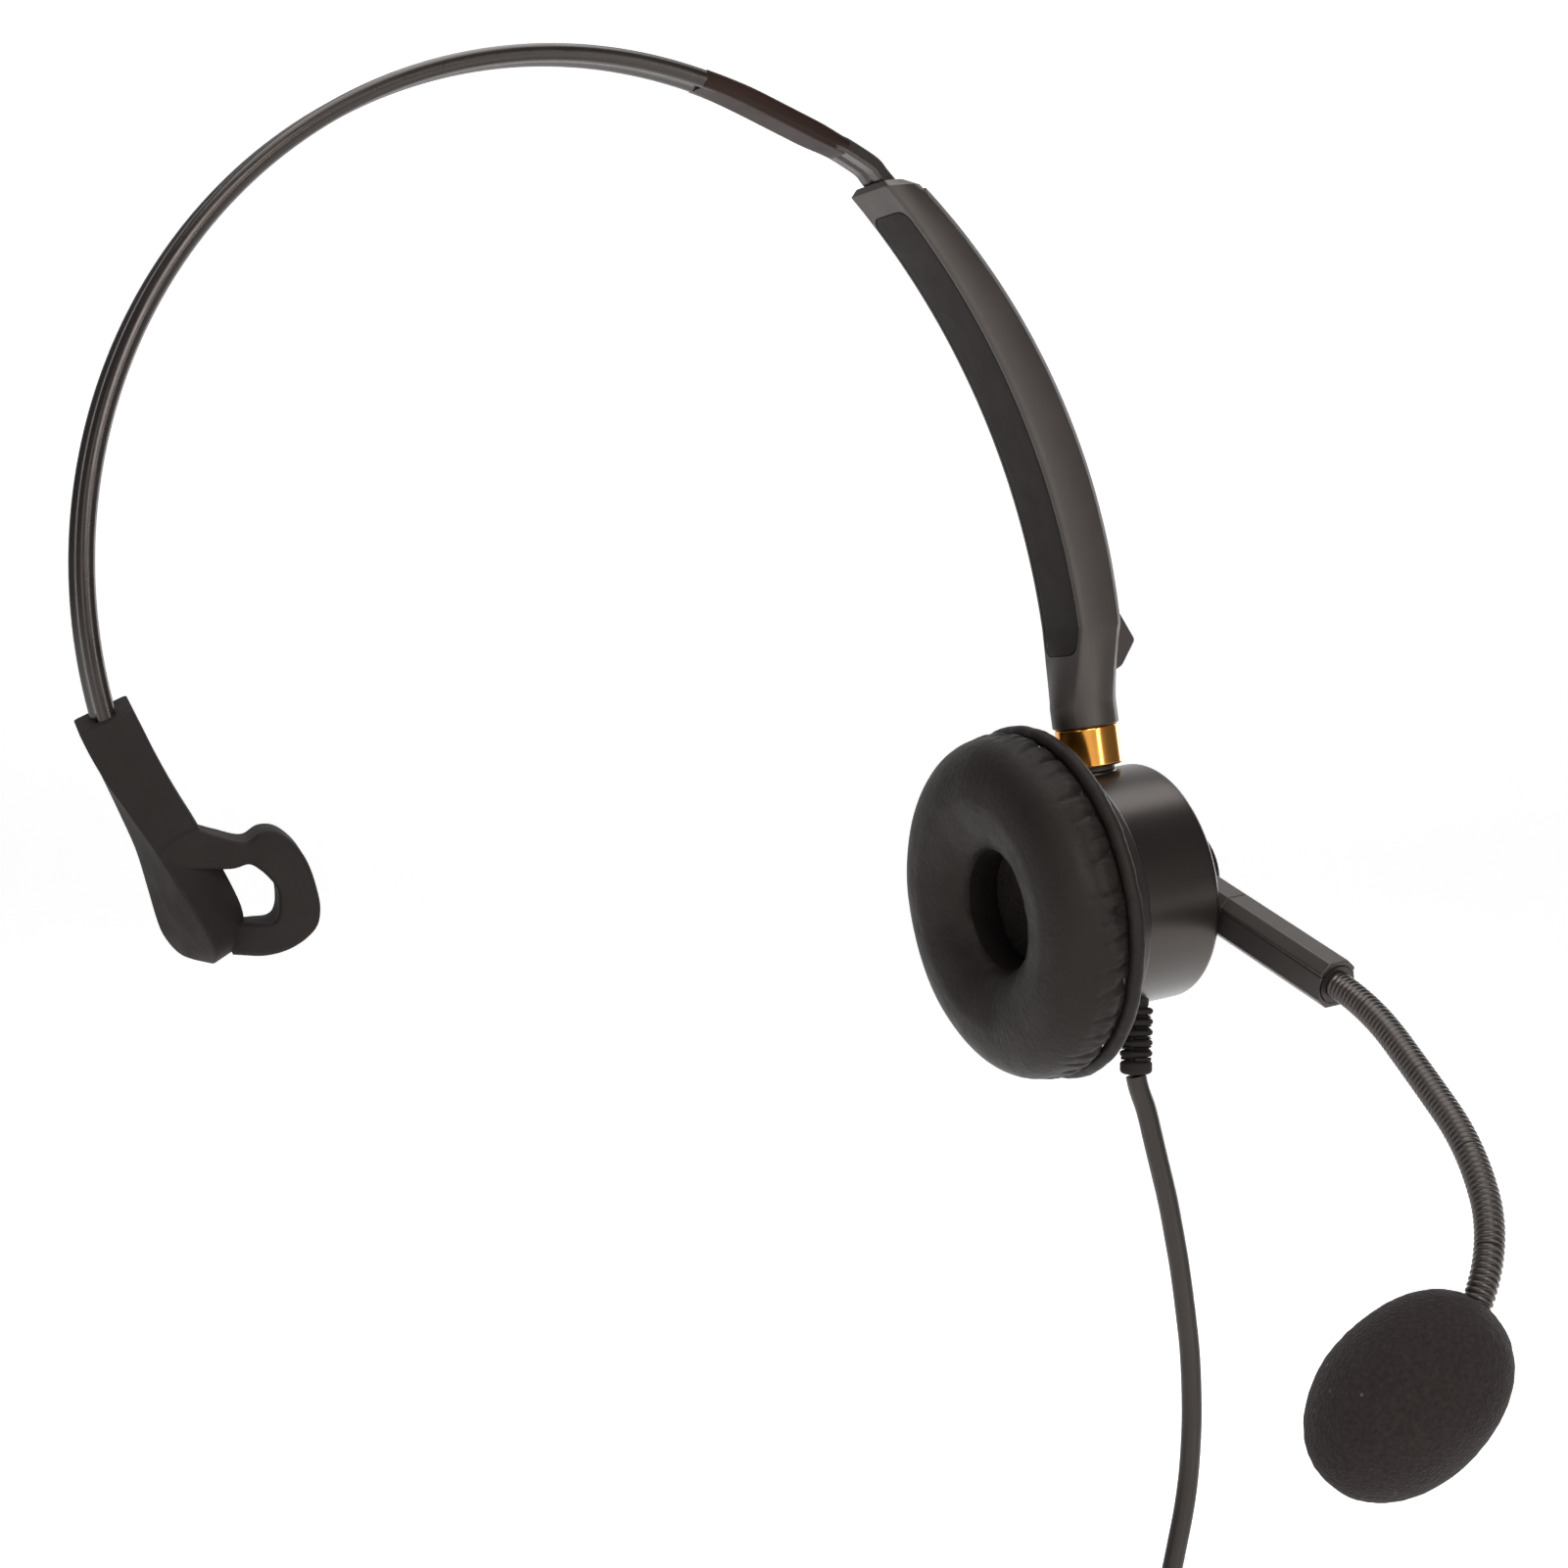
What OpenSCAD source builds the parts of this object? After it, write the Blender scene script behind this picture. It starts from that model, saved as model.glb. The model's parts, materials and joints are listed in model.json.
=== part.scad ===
// Single-ear office headset: spring head band, sliding arm, swivelling ear cup,
// turning microphone boom with a bendable neck, and a plugged cord.
// Millimetres. +Z is up, +X points to the ear cup, -Y points to the wearer's front.
// The origin is the middle of the band's underside, where it rests on the crown.

/* [Head band] */
// Inside radius of the band's arc
band_r = 72.9; // [70:0.1:76]
// Thickness of the band
band_thick = 2.6; // [2.2:0.1:3]
// Width of the band from front to back
band_width = 6.2; // [5.6:0.1:7]
// Thickness of the steel strip inside the band
core_thick = 0.8; // [0.5:0.1:1]
// Width of the steel strip inside the band
core_width = 4; // [3:0.1:4.4]
// Length of the straight moulded sleeve that joins band and rail
sleeve_len = 15; // [14:0.5:16]

/* [Sliding arm] */
// Radius of the arm's inner face
arm_r = 117.6; // [117.2:0.1:118.2]
// Thickness of the arm housing at its middle
arm_thick = 7.8; // [7.6:0.1:8.2]
// Width of the arm housing from front to back
arm_width = 12; // [11.8:0.1:13]
// Width of the slide rail
rail_width = 4.6; // [4:0.1:4.6]
// Thickness of the slide rail
rail_thick = 1.8; // [1.6:0.1:2]

/* [Ear cup] */
// Outside radius of the cup shell
cup_r = 18.4; // [18:0.1:19]
// Wall thickness of the cup shell
cup_wall = 1.5; // [1.2:0.1:1.8]
// Outside radius of the ear cushion
cushion_r = 27.4; // [26:0.1:29]
// Radius of the hole in the ear cushion
cushion_hole_r = 9.6; // [8:0.1:11]
// Radius of the gold swivel collar
collar_r = 4.9; // [4.5:0.1:5.1]
// Radius of the swivel shaft
shaft_r = 2; // [1.8:0.05:2.1]

/* [Boom] */
// Distance from the boom pivot to the end of the stem
stem_len = 42.2; // [42:0.2:48]
// Height of the stem
stem_h = 7.2; // [7:0.1:8.2]
// Thickness of the stem
stem_t = 6; // [5.8:0.1:6.2]
// Angle of the stem below the horizontal
stem_drop = 21; // [10:0.1:25]
// Radius of the bendable neck
neck_r = 2.1; // [1.9:0.05:2.3]
// Length of one neck section
neck_step = 15.8; // [15:0.1:17]
// Half length of the foam windscreen
foam_a = 15.9; // [15:0.1:18]
// Largest radius of the foam windscreen
foam_b = 11.6; // [11:0.1:13]

/* [Cord] */
// Radius of the cord
cord_r = 1.6; // [1.4:0.1:1.6]
// Radius of the plug pin
pin_r = 1.75; // [1.5:0.05:1.75]
// Length of the straight part of the plug pin
pin_len = 11.5; // [11:0.1:12]

/* [Hidden] */
$fn = 64;
// Running clearance of a shaft, and the gap that two fixed pieces keep.
run_gap = 0.04;
fit_gap = 0.02;

// Band: its centre, middle radius and where it starts and ends.
band_c = [0, -band_r];
band_mid = band_r + band_thick / 2;
band_end_angle = 202;
band_join_angle = 70;
band_ridge = band_thick / 2;

// Sleeve: the straight moulding that leaves the arc at a tangent.
sleeve_w = 6.8;
sleeve_t = 3;
sleeve_chamfer = 0.6;
rail_start = 6;
sleeve_drop = 90 - band_join_angle;

// Arm: the centre of its curve, about which it slides.
arm_c = [-38, -98.2];
arm_mouth = 46;
arm_root = 9.5;
arm_r1 = arm_r + arm_thick;
arm_half = arm_width / 2;
arm_outer_c = [-14, -90];
arm_outer_r = arm_thick + 92.9;
rail_r0 = arm_r + 1.5;
rail_r1 = rail_r0 + rail_thick;
rail_mid = (rail_r0 + rail_r1) / 2;
rail_top = 47.5;
rail_bottom = 30.3;
rail_half = rail_width / 2;
rail_gap = 0.3;
notch_first = 33;
notch_step = 1.4;
notches = 8;
stop_angle = 31.9;
channel_half = 4.4;
channel_r0 = rail_r0 - rail_gap;
channel_r1 = rail_r1 + 1;
cover_half = 4.9;
cover_top = 43.3;
cover_bottom = 7.9;

// Temple pad: the mouth of its sleeve, how far it leans in and how far it is turned.
pad_at = [-71.4, 0, -93.2];
pad_lean = 27.5;
pad_twist = -15;

// Ear cup: it hangs on a shaft that leans outwards as it goes down.
cup_at = [86.4, 0, -118.6];
cup_lean = 9;
cup_front = -9.1;
cup_back = 8.4;
cup_inner = cup_r - cup_wall;
baffle_front = -12.1;
cushion_face = -23.7;
boss_top = 18.5;
collar_z0 = 19.2;
collar_z1 = 25.5;
arm_end_z = 25.6;
screw_ring = 15.4;
screw_angles = [30, 150, 270];
board_posts = [-5, 5];
piping_r = 1.3;
relief_at = [87.7, -6, -136.3];
relief_len = 10.8;

// Boom: the hub turns on the cup's outer face.
hub_x0 = cup_back + 0.7;
stem_x = hub_x0 + stem_t / 2;
stem_split = 1.6;
hub_r = 7.5;
pivot_r = 2.5;
neck_turns = [15, 1.2, 17, 37];
neck_tilt = 40;
mic_turn = 16;
foam_skew = 13;
neck_gap = 1.1;

// Cord: the route's points go from the strain relief down into the coil.
coil_c = [88.8, -10.8, -263.4];
coil_mid = 17.6;
coil_rows = 4;
cord_d = 2 * cord_r;
coil_r0 = coil_mid - coil_rows * cord_r;
coil_r1 = coil_mid + coil_rows * cord_r;
tail_top = coil_c[2];
tail_len = 21;
cord_route = [
    [87.7, -6, -147.1], [88.3, -6, -149.3], [89.6, -6, -152.5], [90.9, -6, -157.2],
    [92.2, -6, -161.8], [93.5, -6, -166.5], [94.6, -6, -171.5], [95.8, -6, -177.5],
    [96.9, -6, -184.7], [97.6, -6, -190.5], [97.9, -6, -196.5], [97.9, -6, -202],
    [97.4, -6, -208.8], [96.5, -6, -214.4], [95.2, -6, -219.9], [93.6, -6, -226.5],
    [92.9, -6, -231.3], [93.3, -6, -235.5], [94.9, -6, -239.4], [97.2, -6, -242.2],
    [100, -6, -244]
];

// ---------- Frames and helpers ----------

// Revolves a section about a line along Y; x is the radius, y runs front to back.
module y_arc(c, a0, a1) {
    translate([c[0], 0, c[1]])
    rotate([90, 0, 0])
    rotate([0, 0, a0])
    rotate_extrude(angle = a1 - a0)
    children();
}

// A place on the arm's curve: X outwards, Y back, Z along the arm towards the band.
module arm_at(a, r) {
    translate([arm_c[0], 0, arm_c[1]])
    rotate([0, -a, 0])
    translate([r, 0, 0])
    children();
}

// The straight sleeve: X along the sleeve, Z outwards.
module sleeve_frame() {
    translate([band_c[0], 0, band_c[1]])
    rotate([0, -band_join_angle, 0])
    translate([band_mid, 0, 0])
    rotate([0, 90, 0])
    children();
}

// The ear cup: X out of the ear, Z up along the swivel shaft.
module cup_frame() {
    translate(cup_at)
    rotate([0, -cup_lean, 0])
    children();
}

// The boom: it points along -Y from the pivot.
module boom_frame() {
    cup_frame()
    rotate([stem_drop, 0, 0])
    children();
}

// Start of neck section n: X along the neck, Y to the inside of its bend.
module neck_frame(n) {
    if (n == 0) {
        boom_frame()
        translate([stem_x, -stem_len, 0])
        rotate([0, 90 + neck_tilt, 0])
        rotate([0, 0, -90])
        children();
    } else {
        neck_frame(n - 1)
        translate([0, neck_radius(n - 1), 0])
        rotate([0, 0, neck_turns[n - 1]])
        translate([0, -neck_radius(n - 1), 0])
        children();
    }
}

// The microphone end: X along the windscreen from where the neck enters it.
module mic_frame() {
    neck_frame(4)
    rotate([0, 0, mic_turn])
    children();
}

// Turns a profile about the cup's X axis; the profile's x is the radius.
module cup_lathe() {
    rotate([90, 0, 90])
    rotate_extrude()
    children();
}

// A rod along X from x0 to x1.
module rod_x(r, x0, x1) {
    translate([x0, 0, 0])
    rotate([0, 90, 0])
    cylinder(r = r, h = x1 - x0);
}

// A rod along Z from z0 to z1.
module rod_z(r, z0, z1) {
    translate([0, 0, z0])
    cylinder(r = r, h = z1 - z0);
}

// A box along X from x0 to x1, centred on Y and Z.
module bar_x(x0, x1, w, t) {
    translate([x0, -w / 2, -t / 2])
    cube([x1 - x0, w, t]);
}

// A rectangle from x0 to x1 and from y0 to y1.
module rect(x0, x1, y0, y1) {
    translate([x0, y0])
    square([x1 - x0, y1 - y0]);
}

// An octagon-like section of width w and height h.
module chamfered(w, h, c) {
    polygon([
        [-w / 2 + c, -h / 2], [w / 2 - c, -h / 2], [w / 2, -h / 2 + c], [w / 2, h / 2 - c],
        [w / 2 - c, h / 2], [-w / 2 + c, h / 2], [-w / 2, h / 2 - c], [-w / 2, -h / 2 + c]
    ]);
}

// Points in the X-Z plane: along and out of the sleeve, and on the arm's curve.
function sleeve_point(u, v) = [
    band_c[0] + (band_mid + v) * cos(band_join_angle) + u * cos(sleeve_drop),
    band_c[1] + (band_mid + v) * sin(band_join_angle) - u * sin(sleeve_drop)
];
function arm_point(r, a) = [arm_c[0] + r * cos(a), arm_c[1] + r * sin(a)];

function neck_radius(n) = neck_step * 180 / (PI * neck_turns[n]);

// ---------- Head band ----------

module band_cover() {
    color("#2b2725")
    y_arc(band_c, band_join_angle, band_end_angle)
    translate([band_mid, 0])
    difference() {
        union() {
            for (s = [-1, 1]) {
                translate([0, s * (band_width / 2 - band_ridge)])
                circle(r = band_ridge);
            }
            square([band_thick - 0.5, band_width - band_thick], center = true);
        }
        square([core_thick + 2 * fit_gap, core_width + 2 * fit_gap], center = true);
    }
}

module band_spring() {
    color("#8d9094") {
        y_arc(band_c, band_join_angle, band_end_angle - 0.5)
        translate([band_mid, 0])
        square([core_thick, core_width], center = true);
        sleeve_frame()
        bar_x(0, rail_start - 0.1, core_width, core_thick);
    }
}

module rail_sleeve() {
    color("#221d1b")
    sleeve_frame()
    difference() {
        translate([0.02, 0, 0])
        rotate([90, 0, 90])
        linear_extrude(sleeve_len)
        chamfered(sleeve_w, sleeve_t, sleeve_chamfer);
        bar_x(-1, rail_start, core_width + 2 * fit_gap, core_thick + 2 * fit_gap);
        bar_x(rail_start, sleeve_len + 1, rail_width + 2 * fit_gap, rail_thick + 2 * fit_gap);
    }
}

// The rail runs straight out of the sleeve, bends, and follows the arm's curve.
module slide_rail() {
    color("#4a4644")
    difference() {
        union() {
            rotate([90, 0, 0])
            linear_extrude(rail_width - 0.1, center = true)
            polygon([
                sleeve_point(rail_start + 0.1, rail_thick / 2),
                sleeve_point(sleeve_len, rail_thick / 2),
                arm_point(rail_r1 - 0.2, rail_top - 0.6),
                arm_point(rail_r0 + 0.2, rail_top - 0.6),
                sleeve_point(sleeve_len - 0.2, -rail_thick / 2),
                sleeve_point(rail_start + 0.1, -rail_thick / 2)
            ]);
            y_arc(arm_c, rail_bottom, rail_top)
            rect(rail_r0, rail_r1, -rail_half, rail_half);
        }
        for (r = [rail_r0 - 0.5, rail_r1 - 0.35]) {
            y_arc(arm_c, stop_angle + 2.2, rail_top - 0.3)
            rect(r, r + 0.85, -0.7, 0.7);
        }
        for (i = [0 : notches - 1]) {
            arm_at(notch_first + i * notch_step, rail_mid)
            translate([0, -rail_half - 0.2, 0])
            rod_x(0.5, -rail_thick, rail_thick);
        }
        arm_at(stop_angle, rail_mid)
        rod_x(0.8 + fit_gap, -rail_thick, rail_thick);
    }
}

// A block on the rail's end, too wide for the arm's mouth.
module rail_stop() {
    color("#6b6d70")
    difference() {
        y_arc(arm_c, stop_angle - 1.3, stop_angle + 1.3)
        rect(rail_r1 + fit_gap, rail_r1 + 0.65, -2.2, 3.6);
        arm_at(stop_angle, 0) {
            rod_x(0.8 + fit_gap, rail_r0, rail_r1 + 2);
            rod_x(1.2 + fit_gap, rail_r1 + 0.3 - fit_gap, rail_r1 + 2);
        }
    }
}

module rail_stop_screw() {
    color("#a9abad")
    arm_at(stop_angle, 0)
    difference() {
        union() {
            rod_x(0.8, rail_r0 + 0.2, rail_r1 + 0.5);
            rod_x(1.2, rail_r1 + 0.3, rail_r1 + 0.65);
        }
        translate([rail_r1 + 0.65, 0, 0])
        cube([0.3, 0.35, 1.6], center = true);
    }
}

// ---------- Temple pad ----------

// The pad: X towards the head, Y back, Z up its sleeve; the mouth is at the origin.
module pad_frame() {
    translate(pad_at)
    rotate([0, -pad_lean, 0])
    rotate([0, 0, pad_twist])
    children();
}

// A thin slice of the pad at depth d, through the corners given as [x, y].
module pad_slice(d, corners) {
    translate([0, 0, -d])
    linear_extrude(0.4)
    polygon(corners);
}

function pad_ring(x0, x1, y0, y1, c) = [
    [x0 + c, y0], [x1 - c, y0], [x1, y0 + c], [x1, y1 - c],
    [x1 - c, y1], [x0 + c, y1], [x0, y1 - c], [x0, y0 + c]
];

module temple_pad() {
    color("#2a2624")
    pad_frame()
    difference() {
        union() {
            hull() {
                pad_slice(0.4, pad_ring(-3.8, 3.9, -4.4, 4.4, 0.5));
                pad_slice(12, pad_ring(-3.8, 3.9, -4.6, 4.8, 0.5));
            }
            hull() {
                pad_slice(11.9, pad_ring(-3.8, 3.9, -4.6, 4.8, 0.5));
                pad_slice(19, [[-1.6, -6], [4.4, -4], [4.6, 5], [-4.3, 6]]);
            }
            hull() {
                pad_slice(18.9, [[-1.6, -6], [4.4, -4], [4.6, 5], [-4.3, 6]]);
                pad_slice(30, [[-0.8, -8], [5, 1], [4, 7], [-6.4, 7]]);
            }
            hull() {
                pad_slice(29.9, [[-0.8, -8], [5, 1], [4, 7], [-6.4, 7]]);
                pad_slice(34.4, [[-0.8, -8.3], [4.8, -0.5], [3.2, 6.4], [-5.8, 6.4]]);
                pad_slice(36.9, [[-0.8, -7], [3, -1], [1.4, 5], [-3, 4.4]]);
            }
        }
        translate([-2.6, -3.9, -12])
        cube([5.2, 7.8, 14]);
    }
}

// A stiff block inside the pad's sleeve that grips the end of the band.
module temple_insert() {
    color("#55504d")
    difference() {
        pad_frame()
        translate([-2.55, -3.85, -11.8])
        cube([5.1, 7.7, 9.6]);
        y_arc(band_c, band_join_angle, band_end_angle + 8)
        translate([band_mid, 0])
        square([band_thick + 2 * fit_gap, band_width + 2 * fit_gap], center = true);
    }
}

// The soft D-shaped loop whose round strap rests on the head.
module temple_loop() {
    color("#262220")
    pad_frame()
    rotate([90, 0, 0])
    translate([0, 0, -5])
    linear_extrude(10)
    difference() {
        polygon([[5.05, -20.4], [8.6, -23.4], [12.4, -23.2], [14, -26], [14.6, -29.5],
            [14.2, -33], [13.2, -36], [11.4, -38], [8, -38.6], [4, -38.2],
            [3.5, -37.2], [5.05, -34.8]]);
        polygon([[6, -26], [8.2, -26], [10.2, -28], [11, -30.8], [10.3, -33.4],
            [8.6, -35], [6.4, -34.4]]);
    }
}

// ---------- Sliding arm ----------

// The arm's body from angle a0 to a1: its inner face follows the slide's curve and
// its crowned outer face has a centre of its own, so the arm thins towards its mouth.
module arm_blank(a0, a1) {
    intersection() {
        y_arc(arm_c, a0, a1)
        polygon([
            [arm_r, -arm_half + 0.8], [arm_r + 0.8, -arm_half], [arm_r1 + 2, -arm_half],
            [arm_r1 + 2, arm_half], [arm_r + 0.8, arm_half], [arm_r, arm_half - 0.8]
        ]);
        translate([arm_outer_c[0], 0, arm_outer_c[1]])
        rotate([90, 0, 0])
        rotate_extrude()
        polygon([
            [0, -arm_half - 1], [arm_outer_r - 1.6, -arm_half - 1],
            [arm_outer_r - 1.6, -arm_half], [arm_outer_r - 0.5, -arm_half + 0.7],
            [arm_outer_r, -arm_half + 2.6], [arm_outer_r, arm_half - 2.6],
            [arm_outer_r - 0.5, arm_half - 0.7], [arm_outer_r - 1.6, arm_half],
            [arm_outer_r - 1.6, arm_half + 1], [0, arm_half + 1]
        ]);
    }
}

// The arm's shell: a curved channel that ends in a round foot for the swivel.
module arm_housing() {
    color("#2f2c2b")
    difference() {
        union() {
            arm_blank(arm_root, arm_mouth);
            hull() {
                arm_blank(arm_root - 0.02, arm_root + 0.2);
                cup_frame()
                rod_z(5.15, arm_end_z, arm_end_z + 3);
            }
            // Pointed stop on the outer side.
            translate([0, 3, 0])
            rotate([90, 0, 0])
            linear_extrude(6)
            polygon([[84, -75.2], [86.4, -75.7], [89.7, -80], [87.8, -84.2], [84, -86.2]]);
        }
        y_arc(arm_c, arm_root + 0.5, arm_mouth - 1.2)
        rect(channel_r0, channel_r1, -channel_half, channel_half);
        y_arc(arm_c, 5.5, arm_root + 1)
        rect(channel_r0 + 0.8, channel_r1, -2.4, 2.4);
        y_arc(arm_c, arm_mouth - 2, arm_mouth + 1)
        rect(channel_r0, rail_r1 + rail_gap, -rail_half - rail_gap, rail_half + rail_gap);
        y_arc(arm_c, cover_bottom - 0.1, cover_top + 0.1)
        rect(arm_r - 1, channel_r0 + 0.02, -cover_half - 0.1, cover_half + 0.1);
        cup_frame() {
            rod_z(shaft_r + run_gap, 20, 34);
            rod_z(3.1, 29, 33.4);
        }
    }
}

// The plate let into the arm's inner face.
module arm_cover() {
    color("#24211f")
    y_arc(arm_c, cover_bottom, cover_top)
    polygon([
        [arm_r - 0.25, -cover_half + 0.5], [arm_r + 0.25, -cover_half],
        [channel_r0 - 0.05, -cover_half], [channel_r0 - 0.05, cover_half],
        [arm_r + 0.25, cover_half], [arm_r - 0.25, cover_half - 0.5]
    ]);
}

// A leaf spring beside the rail whose nose clicks into the rail's notches.
module detent_spring() {
    color("#b0b2b4") {
        y_arc(arm_c, 37, 43.6)
        rect(rail_r0 + 0.4, rail_r1 - 0.4, channel_half - 0.6, channel_half - 0.25);
        arm_at(notch_first + 5 * notch_step, rail_mid)
        translate([0, -channel_half + 1.1, 0])
        rod_x(0.6, -0.6, 0.6);
    }
}

module swivel_collar() {
    color("#d98a1e")
    cup_frame()
    rotate_extrude()
    polygon([
        [shaft_r + run_gap, collar_z0], [collar_r - 0.3, collar_z0],
        [collar_r, collar_z0 + 0.3], [collar_r, collar_z1 - 0.3],
        [collar_r - 0.3, collar_z1], [shaft_r + run_gap, collar_z1]
    ]);
}

// ---------- Ear cup ----------

// A hollow shaft, flanged inside the cup, that carries the collar and arm.
module swivel_shaft() {
    color("#9a9c9e")
    cup_frame()
    difference() {
        union() {
            rod_z(shaft_r, 14, 31.2);
            rod_z(3.4, 14, 15.4);
        }
        rod_z(1.1, 13, 32);
    }
}

module swivel_clip() {
    color("#c0c2c4")
    cup_frame()
    difference() {
        rod_z(2.85, 29.5, 30.2);
        rod_z(shaft_r + fit_gap, 29, 31);
        translate([1, -0.7, 29])
        cube([3, 1.4, 2]);
    }
}

module swivel_washer() {
    color("#1a1716")
    cup_frame()
    difference() {
        rod_z(3.6, boss_top + fit_gap, collar_z0 - 0.06);
        rod_z(shaft_r + fit_gap, 18, 20);
    }
}

module cup_shell() {
    color("#211e1d")
    difference() {
        cup_frame()
        difference() {
            union() {
                difference() {
                    union() {
                        cup_lathe()
                        polygon([
                            [0, cup_front], [cup_r, cup_front], [cup_r, cup_back - 1],
                            [cup_r - 0.3, cup_back - 0.3], [cup_r - 1, cup_back], [0, cup_back]
                        ]);
                        rod_z(3.9, 10, boss_top);
                    }
                    rod_x(cup_inner, cup_front - 1, cup_back - 1.6);
                }
                for (a = screw_angles) {
                    rotate([a, 0, 0])
                    translate([0, screw_ring, 0])
                    rod_x(1.7, cup_front + 2, cup_back - 1);
                }
                for (y = board_posts) {
                    translate([0, y, -5])
                    rod_x(1.6, 1.6, cup_back - 1);
                }
            }
            for (a = screw_angles) {
                rotate([a, 0, 0])
                translate([0, screw_ring, 0])
                rod_x(0.8 + fit_gap, cup_front, 0);
            }
            for (y = board_posts) {
                translate([0, y, -5])
                rod_x(0.7 + fit_gap, 0, 5);
            }
            rod_z(shaft_r + fit_gap, 10, 20);
            rod_z(3.5, 10, 15.5);
            rod_x(pivot_r + fit_gap, 5, 10);
        }
        translate(relief_at)
        rod_z(2.05 + fit_gap, -6, 8);
    }
}

// The front plate: a lip behind the cushion, a grille and a seat for the speaker.
module cup_baffle() {
    color("#1c1918")
    cup_frame()
    difference() {
        cup_lathe()
        polygon([
            [0, baffle_front], [20.2, baffle_front], [20.5, baffle_front + 0.4],
            [20.5, baffle_front + 1.7], [19.2, baffle_front + 2.3], [19.2, cup_front - 0.05],
            [cup_inner - 0.05, cup_front - 0.05], [cup_inner - 0.05, cup_front + 1.6],
            [cup_inner - 1, cup_front + 1.6], [cup_inner - 1, baffle_front + 1.5],
            [0, baffle_front + 1.5]
        ]);
        rod_x(0.7, baffle_front - 1, -9);
        for (ring = [1 : 3], i = [0 : 6 * ring - 1]) {
            rotate([i * 60 / ring, 0, 0])
            translate([0, 3 * ring, 0])
            rod_x(0.7, baffle_front - 1, -9);
        }
        for (a = screw_angles) {
            rotate([a, 0, 0])
            translate([0, screw_ring, 0]) {
                rod_x(0.8 + fit_gap, baffle_front - 1, -6);
                rod_x(1.45, baffle_front - 1, baffle_front + 0.9);
                rod_x(1.8, cup_front + 1, -6);
            }
        }
    }
}

module cup_screws() {
    color("#77797b")
    cup_frame()
    for (a = screw_angles) {
        rotate([a, 0, 0])
        translate([0, screw_ring, 0]) {
            rod_x(0.8, baffle_front + 0.8, -3);
            rod_x(1.4, baffle_front + 0.1, baffle_front + 0.88);
        }
    }
}

module speaker_frame() {
    color("#3b3d40")
    cup_frame()
    cup_lathe()
    polygon([
        [11.4, -10.55], [13.4, -10.55], [13.4, -8], [8.6, -5.4], [6.1, -5.4],
        [6.1, -6.2], [8.2, -6.2], [12.2, -8.6], [11.4, -10]
    ]);
}

module speaker_magnet() {
    color("#8f9193")
    cup_frame()
    rod_x(6, -7.2, -2.6);
}

module speaker_diaphragm() {
    color("#c8c2a8")
    cup_frame()
    cup_lathe()
    polygon([
        [0, -9], [4, -9.3], [8, -10.2], [11.3, -10.2], [11.3, -10.5], [8, -10.5],
        [4, -9.6], [0, -9.3]
    ]);
}

// Black cloth over the grille.
module speaker_cloth() {
    color("#0f0e0e")
    cup_frame()
    rod_x(10.6, baffle_front - 0.4, baffle_front - 0.02);
}

module cushion_plate() {
    color("#33302e")
    cup_frame()
    cup_lathe()
    rect(11, 24.6, baffle_front - 1.4, baffle_front - 0.04);
}

// The piped hem round the back of the cushion.
module cushion_piping() {
    color("#1d1a19")
    cup_frame()
    cup_lathe()
    translate([cushion_r - piping_r, baffle_front - 0.1])
    circle(r = piping_r, $fn = 24);
}

// Section of the cushion, made smaller by g all round.
module cushion_section(g) {
    r = 5;
    x0 = cushion_hole_r;
    x1 = cushion_r - 0.4;
    face = cushion_face;
    back = baffle_front - 1.5;
    for (x = [x0 + r, x1 - r]) {
        translate([x, face + r])
        circle(r = r - g);
    }
    rect(x0 + r, x1 - r, face + g, face + r);
    rect(x0 + g, x1 - g, face + r, back - g);
}

module ear_cushion() {
    color("#201d1c")
    cup_frame()
    cup_lathe()
    difference() {
        cushion_section(0);
        cushion_section(0.8);
    }
}

module cushion_foam() {
    color("#5c5a55")
    cup_frame()
    cup_lathe()
    cushion_section(0.85);
}

module terminal_board() {
    color("#1f5a34")
    cup_frame()
    difference() {
        translate([0.4, -8, -9])
        cube([1.1, 16, 8]);
        for (y = board_posts) {
            translate([0, y, -5])
            rod_x(0.7 + fit_gap, -1, 3);
        }
    }
}

module board_screws() {
    color("#a9abad")
    cup_frame()
    for (y = board_posts) {
        translate([0, y, -5]) {
            rod_x(0.7, -0.4, 4);
            rod_x(1.3, -0.6, 0.38);
        }
    }
}

// A ribbed rubber sleeve where the cord leaves the cup.
module strain_relief() {
    color("#1b1817")
    translate(relief_at) {
        rod_z(2.05, -1, 4.6);
        difference() {
            union() {
                rod_z(2, -relief_len + 1, 0.4);
                for (i = [0 : 4]) {
                    rod_z(2.6, -1.6 - 1.7 * i, -0.6 - 1.7 * i);
                }
                rod_z(2.65, -relief_len, -relief_len + 1.9);
            }
            translate([0, -relief_at[1], -relief_at[2]])
            translate([-relief_at[0], 0, 0])
            cup_frame()
            rod_x(cup_r + 0.02, -20, 20);
        }
    }
}

module relief_clamp() {
    color("#9a9c9e")
    translate(relief_at)
    difference() {
        rod_z(2.9, 3.6, 4.6);
        rod_z(2.05 + fit_gap, 3, 6);
    }
}

// ---------- Boom ----------

// A shouldered stud, fixed in the cup, that holds the hub on.
module boom_pivot() {
    color("#9a9c9e")
    cup_frame() {
        rod_x(pivot_r, 5.2, stem_x + stem_t / 2 - 1);
        rod_x(4, 4.6, 6.3);
        rod_x(4.2, stem_x + stem_t / 2 - 1.6, stem_x + stem_t / 2 - 0.6);
    }
}

module boom_washer() {
    color("#b7b9bb")
    cup_frame()
    difference() {
        rod_x(6.4, cup_back + 0.05, hub_x0 - 0.06);
        rod_x(pivot_r + fit_gap, cup_back - 1, hub_x0 + 1);
    }
}

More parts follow.
